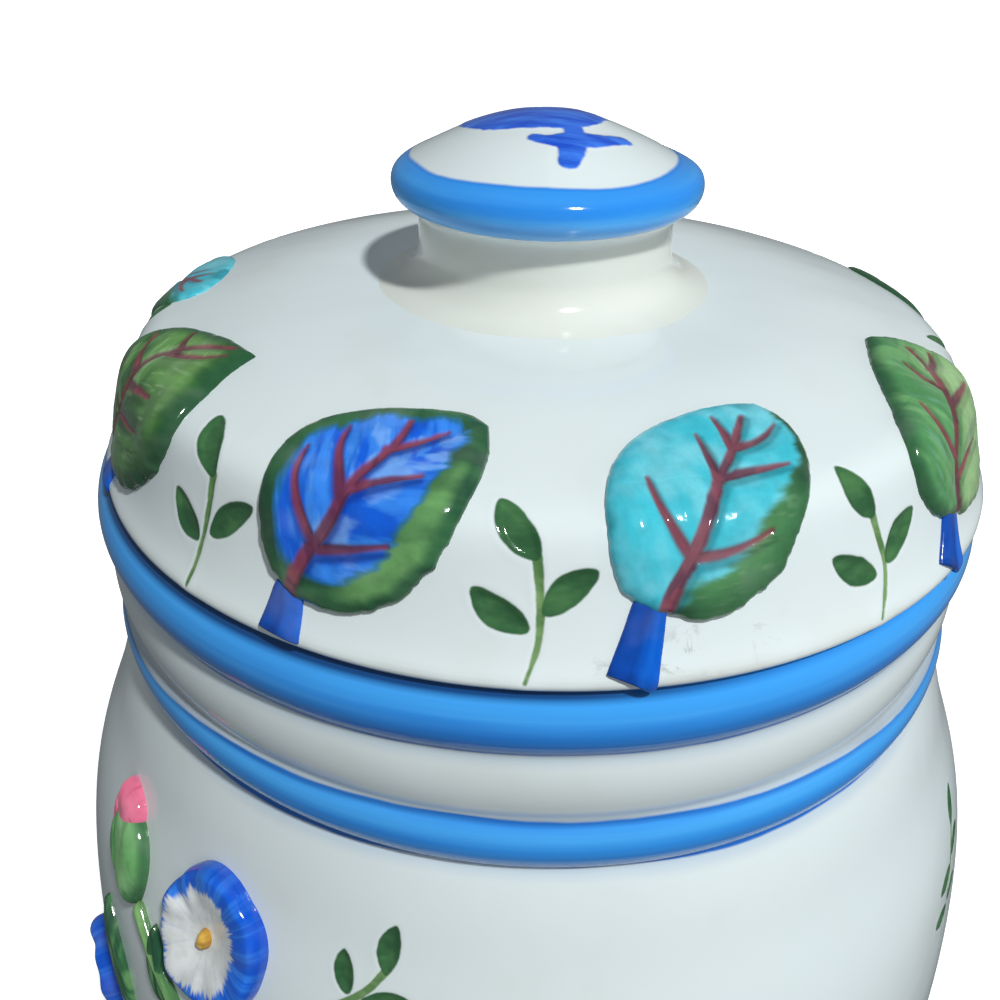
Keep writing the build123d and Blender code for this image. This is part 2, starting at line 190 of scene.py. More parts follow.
KNOB = Profile([
    cubic(HOLLOW, d0=(1, 0), d1=(-1, 0))[::-1], [(2.5, 190.02), (23.0, 190.02), (26.4, 189.82)],
    cubic([(26.4, 189.82), (24.0, 190.32), (21.6, 191.3), (20.0, 193.0), (19.3, 195.4)], d0=(-1, 0.10), d1=(0, 1)), [(19.2, 200.6)], cubic(CAP, d0=(0, 1), d1=(-1, 0)),
], soften=0.3)

wall = (JAR.s < JAR.find(70.0, 141.7)) & (JAR.z > 5)
S_Z60 = JAR.s[wall][np.argmin(np.abs(JAR.z[wall] - 60.0))]
S_EDGE = LID.find(68.8, 167.6) + 0.9
S_LOW0, S_LOW1 = JAR.find(68.1, 137.3), JAR.find(68.2, 146.1)
S_UP0, S_UP1 = JAR.find(68.5, 157.1), JAR.find(67.2, 166.5)
S_RIM1 = JAR.find(61.3, 166.5)


def belly_s(z):
    return float(np.interp(z, JAR.z[wall], JAR.s[wall])) - S_Z60


# ---------------------------------------------------------------- hand-made walls: never quite round, never quite level
def polar(th, r, z):
    return np.stack([r * np.sin(th), -r * np.cos(th), z], -1)


def jar_at(th, s, h=0.0):
    """Place on the jar's skin at azimuth th and profile length s, h above it."""
    r, z, nr, nz = JAR.at(s)
    d = 0.22 * np.cos(2 * th + 0.7) + 0.12 * np.cos(3 * th - 1.1) + 0.14 * noise(2.2 * np.sin(th), 2.2 * np.cos(th), z / 26.0, 3)
    d = d * sm(0.5, 20.0, z) * (1 - 0.5 * sm(150, 166, z))
    p = polar(th, r + d + nr * h, z + nz * h)
    p[..., 0] -= 0.5 * sm(134.0, 150.0, z)
    return p


def lid_lean(th, r, z):
    p = polar(th, r, z)
    up = sm(168.0, 189.0, z)
    p[..., 0] += 0.4 - 0.3 * up
    return p


def lid_at(th, s, h=0.0):
    r, z, nr, nz = LID.at(s)
    d = 0.16 * np.cos(2 * th - 0.4) + 0.10 * np.cos(3 * th + 2.0) + 0.12 * noise(2.0 * np.sin(th), 2.0 * np.cos(th), z / 14.0, 5)
    d = d * sm(157, 169, z)
    lift = 0.22 * np.exp(-(((s - S_EDGE) / 3.2) ** 2)) * (0.5 + 0.5 * np.cos(th + 75 * D)) * sm(59.5, 64.0, r)
    sag = 0.10 * noise(3 * np.sin(th), 3 * np.cos(th), r / 15.0, 8) * sm(20, 30, r) * (1 - sm(58, 63, r))
    return lid_lean(th, r + d + nr * h, z + nz * h + lift + sag * (z > 185.5))


def knob_at(th, s, h=0.0):
    r, z, nr, nz = KNOB.at(s)
    cap = sm(200.5, 205.0, z)
    d = (0.14 * np.cos(2 * th + 1.0) + 0.10 * np.cos(3 * th)) * sm(190.2, 193, z)
    p = lid_lean(th, np.maximum(r + (d + nr * h) * sm(0.5, 6, r), 0.05), z + nz * h)
    side = np.sin(th)
    top = cap * sm(206.0, 209.5, z) * (s > KNOB.len * 0.5)
    p[..., 2] -= top * 0.9 * sm(3.0, 15.0, r) * np.clip(side, 0, 1)
    p[..., 2] -= top * 0.35 * sm(5.0, 17.0, r) * np.clip(-side, 0, 1)
    return p


def lid_wall(th0, x, s, h=0.0):
    r = LID.at(S_EDGE + s)[0]
    return lid_at(th0 * D + x / r, S_EDGE + s, h)


def jar_wall(th0, x, s, h=0.0):
    r = JAR.at(S_Z60 + s)[0]
    return jar_at(th0 * D + x / r, S_Z60 + s, h)


# ---------------------------------------------------------------- distances to drawn shapes
def sd_poly(P, poly):
    """Signed distance to a closed outline, negative inside."""
    best = np.full(len(P), 1e9)
    inside = np.zeros(len(P), bool)
    for a, b in zip(poly, np.roll(poly, -1, 0)):
        d = b - a
        t = np.clip(((P - a) @ d) / (d @ d + 1e-12), 0, 1)
        q = P - a - t[:, None] * d
        best = np.minimum(best, q[:, 0] ** 2 + q[:, 1] ** 2)
        hit = (a[1] > P[:, 1]) != (b[1] > P[:, 1])
        inside ^= hit & (P[:, 0] < (b[0] - a[0]) * (P[:, 1] - a[1]) / (b[1] - a[1] + 1e-12) + a[0])
    return np.where(inside, -1, 1) * np.sqrt(best)


def smooth_path(pts, n=24):
    P = np.array(pts, float)
    if len(P) < 3:
        return P[0] + np.linspace(0, 1, n)[:, None] * (P[-1] - P[0])
    L = np.hypot(*np.diff(P, axis=0).T).sum()
    c = cubic(P, step=L / (4 * n))
    return c[np.linspace(0, len(c) - 1, n).round().astype(int)]


def sd_line(P, path, w0, w1):
    """Distance to a tapering stroke's edge."""
    best = np.full(len(P), 1e9)
    n = len(path) - 1
    for i, (a, b) in enumerate(zip(path, path[1:])):
        d = b - a
        t = np.clip(((P - a) @ d) / (d @ d + 1e-12), 0, 1)
        q = P - a - t[:, None] * d
        best = np.minimum(best, np.hypot(q[:, 0], q[:, 1]) - (w0 + (w1 - w0) * (i + t) / n))
    return best


def leaf_line(base, tip, width, n=40, peak=(0.46, 0.46), blunt=(0.5, 0.5), bow=0.0, lobes=0.0, seed=0):
    """Leaf outline from base to tip. The first of each pair is for the left side."""
    b, t = np.array(base, float), np.array(tip, float)
    ln = np.hypot(*(t - b))
    a = (t - b) / ln
    p = np.array([-a[1], a[0]])
    u = 0.5 - 0.5 * np.cos(np.linspace(0, math.pi, n + 1))
    half = []
    for k, sign in ((0, 1), (1, -1)):
        w = np.sin(math.pi * u ** (math.log(0.5) / math.log(peak[k]))).clip(0) ** blunt[k] * width / 2
        w = w + lobes * noise(u * 7.0, k * 5.0, 0.0, seed) * np.sin(math.pi * u) ** 0.5
        w[0] = w[-1] = 0
        half.append(b + u[:, None] * ln * a + (sign * w + bow * np.sin(math.pi * u))[:, None] * p)
    return np.concatenate([half[0], half[1][-2:0:-1]])


def resample(poly, n):
    P = np.concatenate([poly, poly[:1]])
    s = np.r_[0, np.cumsum(np.hypot(*np.diff(P, axis=0).T))]
    u = np.linspace(0, s[-1], n, endpoint=False)
    return np.stack([np.interp(u, s, P[:, 0]), np.interp(u, s, P[:, 1])], 1)


# ---------------------------------------------------------------- meshes
class Soup:
    """Vertices, faces and per-vertex values gathered for one object."""

    def __init__(self):
        self.v, self.f, self.c, self.n = [], [], [], 0

    def add(self, verts, faces, colours):
        self.v.append(verts)
        self.f += [tuple(i + self.n for i in f) for f in faces]
        self.c.append(colours)
        self.n += len(verts)


def make(name, verts, faces, floats=None, colours=None, loose_sharp=False):
    me = bpy.data.meshes.new(name)
    me.from_pydata((np.asarray(verts, float) * 0.001).tolist(), [], faces)
    for key, val in (floats or {}).items():
        at = me.attributes.new(key, "FLOAT", "POINT")
        at.data.foreach_set("value", np.asarray(val, np.float32))
    if colours is not None:
        ca = me.color_attributes.new("paint", "FLOAT_COLOR", "POINT")
        rgba = np.ones((len(verts), 4), np.float32)
        rgba[:, :3] = np.clip(colours, 0, 1)
        ca.data.foreach_set("color", rgba.ravel())
    me.polygons.foreach_set("use_smooth", np.ones(len(me.polygons), bool))
    me.update()
    ob = bpy.data.objects.new(name, me)
    bpy.context.scene.collection.objects.link(ob)
    return ob


def turned(rows, n, near=None, k=4, loop=False):
    """Grid over azimuth and profile length, divided k times finer where near() says so.
    Returns azimuths, lengths and faces. With loop, the last row joins the first."""
    R = len(rows)
    cells = R if loop else R - 1
    fine = np.zeros((cells, n), bool)
    if near is not None:
        thc = (np.arange(n) + 0.5) / n * 2 * math.pi
        sc = 0.5 * (rows[1:] + rows[:-1])
        T, S = np.meshgrid(thc, sc)
        fine[: R - 1] = near(T.ravel(), S.ravel()).reshape(R - 1, n)
    th = list(np.tile(np.arange(n) / n * 2 * math.pi, R))
    ss = list(np.repeat(rows, n))
    extra = {}

    def key(I, J):
        J %= n * k
        if I % k == 0 and J % k == 0:
            return ((I // k) % R) * n + J // k
        if (I, J) not in extra:
            extra[(I, J)] = len(th)
            th.append(J / (n * k) * 2 * math.pi)
            i, a = divmod(I, k)
            ss.append(rows[i] + (rows[i + 1] - rows[i]) * a / k if a else rows[i])
        return extra[(I, J)]

    faces = []
    touch = fine.copy()
    touch[1:] |= fine[:-1]
    touch[:-1] |= fine[1:]
    touch |= np.roll(fine, 1, 1) | np.roll(fine, -1, 1)
    for i in range(cells):
        i2 = (i + 1) % R
        for j in range(n):
            if not touch[i, j]:
                j2 = (j + 1) % n
                faces.append((i * n + j, i * n + j2, i2 * n + j2, i2 * n + j))
            elif fine[i, j]:
                for a in range(k):
                    for b in range(k):
                        I, J = i * k + a, j * k + b
                        faces.append((key(I, J), key(I, J + 1), key(I + 1, J + 1), key(I + 1, J)))
            else:
                I, J = i * k, j * k
                ring = [key(I, J)]
                if i and fine[i - 1, j]:
                    ring += [key(I, J + b) for b in range(1, k)]
                ring.append(key(I, J + k))
                if fine[i, (j + 1) % n]:
                    ring += [key(I + a, J + k) for a in range(1, k)]
                ring.append(key(I + k, J + k))
                if i + 1 < cells and fine[i + 1, j]:
                    ring += [key(I + k, J + b) for b in range(k - 1, 0, -1)]
                ring.append(key(I + k, J))
                if fine[i, (j - 1) % n]:
                    ring += [key(I + a, J) for a in range(k - 1, 0, -1)]
                faces.append(tuple(ring))
    if not loop:
        faces.append(tuple(range(n - 1, -1, -1)))
        faces.append(tuple((R - 1) * n + j for j in range(n)))
    return np.array(th), np.array(ss), faces


def pad_relief(soup, place, th0, outline, height, paint, nseg, nring, sink=0.4, centre=None, edge=1.6):
    """Raised pad over an outline of (x, s): rings out from the middle, a rounded edge, closed underneath."""
    ring = resample(outline, nseg)
    c = ring.mean(0) if centre is None else np.array(centre, float)
    t = np.linspace(0, 1, nring + 1)[1:]
    rho = 1 - (1 - t) ** edge
    P = np.concatenate([c[None], (c + rho[:, None, None] * (ring - c)).reshape(-1, 2)])
    de = np.empty(len(P))
    coarse = resample(outline, min(nseg, 200))
    de[:] = np.abs(sd_poly(P, coarse))
    de[-nseg:] = 0.0
    h = height(P[:, 0], P[:, 1], de)
    rgb = paint(P[:, 0], P[:, 1], de)
    top = place(th0, P[:, 0], P[:, 1], h)
    low = place(th0, ring[:, 0], ring[:, 1], np.full(nseg, -sink))
    mid = place(th0, c[None, 0], c[None, 1], np.full(1, -sink))
    verts = np.concatenate([top, low, mid])
    faces = []
    j = np.arange(nseg)
    j2 = (j + 1) % nseg
    # outlines may run either way round; faces point out of the wall
    area = np.sum(ring[:, 0] * np.roll(ring[:, 1], -1) - np.roll(ring[:, 0], -1) * ring[:, 1])
    flip = area < 0

    def put(f):
        faces.append(tuple(int(q) for q in (f[::-1] if flip else f)))

    for a, b in zip(j, j2):
        put((0, 1 + a, 1 + b))
    for q in range(nring - 1):
        o, o2 = 1 + q * nseg, 1 + (q + 1) * nseg
        for a, b in zip(j, j2):
            put((o + a, o2 + a, o2 + b, o + b))
    o, o2 = 1 + (nring - 1) * nseg, 1 + nring * nseg
    for a, b in zip(j, j2):
        put((o + a, o2 + a, o2 + b, o + b))
        put((len(verts) - 1, o2 + b, o2 + a))
    soup.add(verts, faces, np.concatenate([rgb, rgb[-nseg:], rgb[:1]]))


def rib_relief(soup, place, th0, path, w0, w1, height, paint, n=60, m=14, sink=0.4, round_ends=(True, True), flat=2.4):
    """Raised rib along a path of (x, s), w0 to w1 half wide."""
    P = smooth_path(path, n)
    g = np.gradient(P, axis=0)
    g /= np.hypot(g[:, 0], g[:, 1])[:, None]
    N = np.stack([-g[:, 1], g[:, 0]], 1)
    arc = np.r_[0, np.cumsum(np.hypot(*np.diff(P, axis=0).T))]
    half = np.interp(arc, [0, arc[-1]], [w0, w1])
    rise = np.ones(n)
    for on, dist, w in ((round_ends[0], arc, w0), (round_ends[1], arc[-1] - arc, w1)):
        if on:
            q = np.sqrt(np.clip(1 - (1 - np.clip(dist / (1.3 * w), 0, 1)) ** 2, 0.0036, 1))
            half, rise = half * q, rise * q
    v = np.sin(np.linspace(-1, 1, m) * math.pi / 2)
    X = P[:, None, :] + (half[:, None] * v)[..., None] * N[:, None, :]
    prof = np.clip(1 - np.abs(v) ** flat, 0, 1) ** (1 / flat)
    H = height(np.repeat(arc, m), np.tile(v, n)).reshape(n, m) * prof * rise[:, None]
    rgb = paint(X[..., 0].ravel(), X[..., 1].ravel(), np.repeat(arc / arc[-1], m), np.tile(v, n))
    H[:, 0] = H[:, -1] = -sink
    verts = place(th0, X[..., 0].ravel(), X[..., 1].ravel(), H.ravel())
    faces = []
    for i in range(n - 1):
        for q in range(m - 1):
            faces.append((i * m + q, i * m + q + 1, (i + 1) * m + q + 1, (i + 1) * m + q)[::-1])
        faces.append((i * m + m - 1, i * m, (i + 1) * m, (i + 1) * m + m - 1)[::-1])
    faces.append(tuple(range(m)))
    faces.append(tuple((n - 1) * m + q for q in range(m - 1, -1, -1)))
    soup.add(verts, faces, rgb)


# ---------------------------------------------------------------- paint box
G_DARK, G_MID, G_LIGHT, G_PALE = col(40, 84, 58), col(64, 118, 76), col(110, 164, 100), col(156, 196, 148)
B_DEEP, B_ROYAL, B_LIGHT, B_PALE = col(8, 62, 182), col(18, 98, 226), col(58, 142, 248), col(136, 184, 248)
T_DEEP, T_MID, T_LIGHT = col(30, 142, 160), col(66, 196, 216), col(120, 214, 230)
V_RED, V_DARK = col(140, 64, 80), col(100, 42, 64)
S_BLUE, S_DARK = col(4, 96, 208), col(10, 70, 168)
WHITE = col(226, 228, 226)
P_PINK, P_DARK, P_PALE = col(238, 120, 152), col(190, 66, 104), col(252, 196, 210)
Y_MID, Y_DARK = col(232, 184, 70), col(176, 122, 36)


# ---------------------------------------------------------------- materials
class Nodes:
    def __init__(self, name):
        self.m = bpy.data.materials.new(name)
        self.m.use_nodes = True
        self.t = self.m.node_tree
        self.b = self.t.nodes["Principled BSDF"]
        self.obj = self.new("ShaderNodeTexCoord").outputs["Object"]

    def new(self, kind, **kw):
        n = self.t.nodes.new(kind)
        for k, v in kw.items():
            setattr(n, k, v)
        return n

    def link(self, a, b):
        self.t.links.new(a, b)

    def put(self, sock, v):
        if hasattr(v, "links"):
            self.link(v, sock)
        else:
            sock.default_value = v

    def noise(self, scale, detail=3.0, rough=0.5, stretch=None, vec=None, distort=0.0):
        vec = vec or self.obj
        if stretch is not None:
            mp = self.new("ShaderNodeMapping")
            mp.inputs["Scale"].default_value = stretch
            self.link(vec, mp.inputs["Vector"])
            vec = mp.outputs["Vector"]
        n = self.new("ShaderNodeTexNoise")
        n.inputs["Scale"].default_value = scale
        n.inputs["Detail"].default_value = detail
        n.inputs["Roughness"].default_value = rough
        n.inputs["Distortion"].default_value = distort
        self.link(vec, n.inputs["Vector"])
        return n.outputs["Fac"]

    def math(self, op, a, b=0.0, clamp=False):
        n = self.new("ShaderNodeMath", operation=op, use_clamp=clamp)
        self.put(n.inputs[0], a)
        self.put(n.inputs[1], b)
        return n.outputs[0]

    def ramp(self, x, a, b, lo=0.0, hi=1.0):
        n = self.new("ShaderNodeMapRange", interpolation_type="SMOOTHSTEP")
        self.put(n.inputs["Value"], x)
        for k, v in (("From Min", a), ("From Max", b), ("To Min", lo), ("To Max", hi)):
            n.inputs[k].default_value = v
        return n.outputs["Result"]

    def mix(self, f, a, b, mode="MIX"):
        n = self.new("ShaderNodeMix", data_type="RGBA", blend_type=mode)
        self.put(n.inputs[0], f)
        for sock, v in ((n.inputs[6], a), (n.inputs[7], b)):
            if hasattr(v, "links"):
                self.link(v, sock)
            else:
                sock.default_value = (*v, 1.0)
        return n.outputs[2]

    def attr(self, name):
        n = self.new("ShaderNodeAttribute", attribute_name=name)
        return n

    def bump(self, height, strength, dist, after=None):
        n = self.new("ShaderNodeBump")
        n.inputs["Strength"].default_value = strength
        n.inputs["Distance"].default_value = dist
        self.link(height, n.inputs["Height"])
        if after is not None:
            self.link(after, n.inputs["Normal"])
        return n.outputs["Normal"]


def white_ground(N, seed=0.0):
    """White glaze over pale clay: faint tint drift, a few iron specks, pinholes."""
    a = N.noise(9.0, 2.0, 0.5)
    b = N.noise(55.0, 3.0, 0.55)
    c = N.mix(N.ramp(a, 0.35, 0.65), tuple(col(227, 235, 236)), tuple(col(223, 232, 235)))
    c = N.mix(N.math("MULTIPLY", N.ramp(b, 0.52, 0.75), 0.35), c, tuple(col(219, 224, 220)))
    vor = N.new("ShaderNodeTexVoronoi", feature="F1")
    vor.inputs["Scale"].default_value = 62.0
    N.link(N.obj, vor.inputs["Vector"])
    pick = N.new("ShaderNodeSeparateColor")
    N.link(vor.outputs["Color"], pick.inputs[0])
    gate = N.ramp(pick.outputs[0], 0.955, 0.965)
    size = N.math("MULTIPLY", pick.outputs[1], 0.018)
    dot = N.math("MULTIPLY", N.ramp(N.math("SUBTRACT", vor.outputs["Distance"], size), 0.012, 0.0), gate)
    c = N.mix(N.math("MULTIPLY", dot, 0.75), c, tuple(col(92, 84, 76)))
    return c, dot


def finish_glaze(N, colour, extra_bump=None, rough=(0.05, 0.13)):
    """Glassy coat: roughness drifts, and the surface is gently uneven."""
    N.link(colour, N.b.inputs["Base Color"])
    N.b.inputs["IOR"].default_value = 1.5
    r = N.noise(34.0, 4.0, 0.6)
    smear = N.noise(7.0, 3.0, 0.5, stretch=(1.0, 1.0, 3.0))
    r = N.math("ADD", N.ramp(r, 0.35, 0.75, rough[0], rough[1]), N.ramp(smear, 0.55, 0.8, 0.0, 0.07))
    N.link(r, N.b.inputs["Roughness"])
    wave = N.noise(48.0, 2.0, 0.45)
    nrm = N.bump(wave, 0.28, 0.0009)
    if extra_bump is not None:
        nrm = N.bump(extra_bump[0], extra_bump[1], extra_bump[2], after=nrm)
    N.link(nrm, N.b.inputs["Normal"])
    return N.m


def sprig_paint(N, c):
    """Dark green sprig leaves and paler stems, from the distance to each shape's edge."""
    wob = N.math("MULTIPLY", N.math("SUBTRACT", N.noise(420.0, 2.0), 0.5), 0.45)
    st = N.ramp(N.math("ADD", N.attr("stem_d").outputs["Fac"], wob), 0.16, -0.14)
    lf = N.ramp(N.math("ADD", N.attr("leaf_d").outputs["Fac"], wob), 0.17, -0.15)
    streak = N.noise(150.0, 3.0, 0.6, stretch=(1.0, 1.0, 2.4))
    green = N.mix(N.ramp(streak, 0.34, 0.72), tuple(col(48, 92, 58)), tuple(col(76, 124, 76)))
    rim = N.ramp(N.attr("leaf_d").outputs["Fac"], -0.9, -0.1)
    green = N.mix(N.math("MULTIPLY", rim, 0.30), green, tuple(col(42, 84, 52)))
    stem = N.mix(N.ramp(streak, 0.35, 0.7), tuple(col(88, 128, 76)), tuple(col(130, 164, 108)))
    c = N.mix(st, c, stem)
    return N.mix(lf, c, green)


def azure(N, edge, tier=None):
    """Blue banding laid on a turning wheel: streaks run round. The colour darkens at the band's edges, partly pooled
    colour and partly painted shade; with tier, the roll is painted darker low down as shade, with a painted highlight
    along its crest.
    """
    fine = N.noise(1.0, 3.0, 0.5, stretch=(9.0, 9.0, 520.0))
    broad = N.noise(1.0, 2.0, 0.5, stretch=(24.0, 24.0, 260.0))
    c = N.mix(N.ramp(fine, 0.30, 0.78), tuple(col(50, 150, 240)), tuple(col(88, 180, 252)))
    c = N.mix(N.math("MULTIPLY", N.ramp(broad, 0.50, 0.74), 0.32), c, tuple(col(28, 118, 222)))
    # darker at the band's edges: partly pooled colour, partly painted shade
    c = N.mix(N.math("MULTIPLY", N.ramp(edge, 1.2, 0.1), 0.6), c, tuple(col(22, 100, 204)))
    if tier is not None:
        # painted shade, darker low on the roll
        c = N.mix(N.math("MULTIPLY", N.ramp(tier, 0.62, 0.08), 0.72), c, tuple(col(20, 92, 186)))
        # painted highlight along the roll's crest
        crest_highlight = N.math("MULTIPLY", N.ramp(tier, 0.52, 0.72), N.ramp(tier, 0.92, 0.76))
        c = N.mix(N.math("MULTIPLY", crest_highlight, 0.35), c, tuple(col(84, 186, 255)))
    return c


def jar_glaze():
    N = Nodes("white_glaze_jar")
    c, dot = white_ground(N)
    band = N.attr("band").outputs["Fac"]
    wob = N.math("MULTIPLY", N.math("SUBTRACT", N.noise(60.0, 3.0), 0.5), 0.9)
    edge = N.math("ADD", band, wob)
    bleed = N.ramp(edge, -2.6, 0.1)
    c = N.mix(N.math("MULTIPLY", bleed, 0.38), c, tuple(col(120, 158, 196)))
    c = N.mix(N.ramp(edge, -0.16, 0.2), c, azure(N, edge, N.attr("tier").outputs["Fac"]))
    # Painted shade in dark navy under the lid's edge and in the crease above the lower band.
    c = N.mix(N.math("MULTIPLY", N.attr("gap_shade").outputs["Fac"], 0.85), c, tuple(col(8, 36, 88)))
    c = sprig_paint(N, c)
    hair = N.attr("hair_d").outputs["Fac"]
    c = N.mix(N.math("MULTIPLY", N.ramp(hair, 0.12, 0.0), 0.22), c, tuple(col(150, 146, 138)))
    bare = N.attr("bare").outputs["Fac"]
    clay = N.mix(N.noise(130.0, 4.0, 0.65), tuple(col(214, 200, 178)), tuple(col(178, 160, 136)))
    c = N.mix(N.ramp(N.math("ADD", bare, N.math("MULTIPLY", N.noise(90.0, 3.0), 0.3)), 0.45, 0.62), c, clay)
    grain = N.math("MULTIPLY", N.noise(700.0, 4.0, 0.7), bare)
    return finish_glaze(N, c, (N.math("ADD", grain, dot), 0.25, 0.0004))


def lid_glaze():
    N = Nodes("white_glaze_lid")
    c, dot = white_ground(N)
    smudge = N.attr("smudge").outputs["Fac"]
    scuff = N.ramp(N.noise(260.0, 4.0, 0.7, distort=0.6), 0.54, 0.68)
    c = N.mix(N.math("MULTIPLY", N.math("MULTIPLY", scuff, smudge), 0.75), c, tuple(col(126, 122, 114)))
    rim = N.attr("rim").outputs["Fac"]
    dirt = N.math("MULTIPLY", rim, N.ramp(N.noise(38.0, 4.0, 0.65), 0.38, 0.72))
    c = N.mix(N.math("MULTIPLY", dirt, 0.42), c, tuple(col(176, 166, 146)))
    c = sprig_paint(N, c)
    return finish_glaze(N, c, (N.math("SUBTRACT", dot, N.math("MULTIPLY", scuff, smudge)), 0.25, 0.0004))


def knob_glaze():
    N = Nodes("white_glaze_knob")
    c, dot = white_ground(N)
    band = N.attr("band").outputs["Fac"]
    wob = N.math("MULTIPLY", N.math("SUBTRACT", N.noise(85.0, 3.0), 0.5), 1.2)
    edge = N.math("ADD", band, wob)
    # painted shade with a warm bounce-light tint on the neck under the cap
    c = N.mix(N.math("MULTIPLY", N.attr("neck_shade").outputs["Fac"], 0.7), c, tuple(col(222, 222, 211)))
    wash = azure(N, edge)
    tier = N.math("ADD", N.attr("tier").outputs["Fac"], N.math("MULTIPLY", N.math("SUBTRACT", N.noise(45.0, 3.0, stretch=(1.0, 1.0, 4.0)), 0.5), 0.5))
    wash = N.mix(N.math("MULTIPLY", N.ramp(tier, 0.52, 0.12), 0.5), wash, tuple(col(112, 182, 236)))
    wash = N.mix(N.math("MULTIPLY", N.ramp(tier, 0.62, 0.86), 0.35), wash, tuple(col(40, 144, 238)))
    c = N.mix(N.ramp(edge, -0.2, 0.5), c, wash)
    br = N.math("ADD", N.attr("brush_d").outputs["Fac"], N.math("MULTIPLY", N.math("SUBTRACT", N.noise(320.0, 3.0), 0.5), 1.0))
    lay = N.noise(1.0, 4.0, 0.6, stretch=(120.0, 520.0, 300.0))
    blue = N.mix(N.ramp(lay, 0.32, 0.7), tuple(col(26, 80, 206)), tuple(col(64, 128, 240)))
    c = N.mix(N.ramp(br, 0.3, -0.2), c, blue)
    return finish_glaze(N, c, (N.math("ADD", dot, N.ramp(br, 0.4, -0.4)), 0.3, 0.0003))


def painted(name, rough=(0.06, 0.15), ripple=0.35):
    """Hand-painted colour under a clear glaze; the colour itself is laid on the mesh."""
    N = Nodes(name)
    base = N.attr("paint").outputs["Color"]
    fine = N.noise(520.0, 3.0, 0.6)
    c = N.mix(N.ramp(fine, 0.3, 0.75, 0.0, 0.15), base, (0.0, 0.0, 0.0), "MULTIPLY")
    tone = N.noise(160.0, 2.0, 0.5)
    c = N.mix(N.ramp(tone, 0.45, 0.8, 0.0, 0.06), c, (1.0, 1.0, 1.0), "SCREEN")
    return finish_glaze(N, c, (N.noise(260.0, 3.0, 0.55), ripple, 0.00035), rough)


MAT = {"white_glaze_jar": jar_glaze(), "white_glaze_lid": lid_glaze(), "white_glaze_knob": knob_glaze()}
for key in ("green_leaf_glaze", "green_stem_glaze", "blue_stalk_glaze", "blue_petal_glaze", "yellow_eye_glaze", "pink_petal_glaze"):
    MAT[key] = painted(key)


def settle(ob, body, slot, *nodes):
    ob.data.materials.append(MAT[slot])
    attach(ob, body)
    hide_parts(*nodes)
    return ob


# ---------------------------------------------------------------- sunk sprigs
def sprig(th0, stem, leaves, w=(0.24, 0.58)):
    """A sunk sprig: a stem path and leaves as (base, tip, width), all (x, s) at azimuth th0."""
    return {
        "th0": th0 * D,
        "stem": smooth_path(stem, 20),
        "w": w,
        "leaves": [leaf_line(b, t, wd, 24, peak=(0.50, 0.46), blunt=(0.62, 0.62), bow=0.10 * wd) for b, t, wd in leaves],
    }


def lid_sprig(th0, lean=0.0, k=1.0, dx=0.0, nod=0.0):
    f = lambda x, s: (dx + x * k + lean * (s - 7.0) / 10.0, s * (0.9 + 0.1 * k))
    return sprig(
        th0,
        [f(-1.0, -0.4), f(-0.1, 4.3), f(0.1, 8.8), f(-0.3, 13.6)],
        [(f(-0.2, 13.4), f(-3.6 - nod, 20.4 + 0.4 * nod), 3.9), (f(-0.9, 5.6), f(-7.0, 9.9), 3.7), (f(0.7, 7.2), f(6.6, 12.4), 3.7)],
    )


LID_SPRIGS = [
    sprig(-41.0, [(3.2, -0.7), (3.5, 5.2), (3.7, 9.2), (3.6, 14.2)], [((3.6, 14.0), (-2.0, 21.4), 3.9), ((2.9, 5.4), (-3.4, 10.1), 3.7), ((4.6, 7.0), (11.0, 12.7), 3.7)]),
    sprig(1.0, [(-1.8, -0.6), (-0.4, 4.3), (-0.3, 8.8), (-0.7, 13.6)], [((-0.6, 13.2), (-4.8, 20.1), 3.9), ((-1.6, 5.2), (-7.9, 9.7), 3.7), ((0.0, 7.2), (5.9, 12.1), 3.7)]),
    sprig(41.0, [(-4.3, -0.6), (-2.5, 2.3), (-1.6, 5.8), (-2.2, 9.6), (-2.8, 12.4)], [((-2.7, 11.8), (-5.4, 19.3), 3.9), ((-3.4, 4.6), (-10.2, 9.0), 3.7), ((-1.4, 5.6), (5.5, 10.3), 3.7)]),
    lid_sprig(86.0, -0.3, 1.04), lid_sprig(125.0, 0.3, 0.97), lid_sprig(163.0, 0.1, 1.03),
    lid_sprig(-158.5, -0.2, 0.98), lid_sprig(-119.0, 0.4, 1.02), lid_sprig(-82.0, 0.0, 1.0),
]


def belly_sprig_a(th0):
    return sprig(
        th0,
        [(-10.0, 48.0), (-7.6, 53.2), (-4.0, 56.6), (-1.0, 59.2), (1.2, 62.6)],
        [((-3.6, 57.8), (-4.7, 64.2), 2.9), ((1.3, 62.2), (2.2, 69.8), 3.2), ((-1.6, 57.4), (6.0, 58.8), 3.1), ((-8.8, 49.6), (-14.4, 50.4), 3.0), ((-7.6, 52.0), (-1.6, 49.8), 3.0)],
    )


def belly_sprig_b(th0):
    return sprig(
        th0,
        [(-5.0, 33.0), (-2.0, 40.0), (1.4, 46.0), (4.4, 51.4)],
        [((4.2, 51.0), (7.4, 57.2), 3.2), ((1.0, 45.6), (-5.6, 44.6), 3.0), ((2.2, 46.8), (8.8, 48.2), 3.1), ((-2.2, 39.4), (-8.2, 40.0), 3.1), ((-1.6, 40.4), (4.6, 40.6), 3.1)],
    )


JAR_SPRIGS = [belly_sprig_a(-14.0), belly_sprig_b(61.0), belly_sprig_a(166.0), belly_sprig_b(-119.0)]


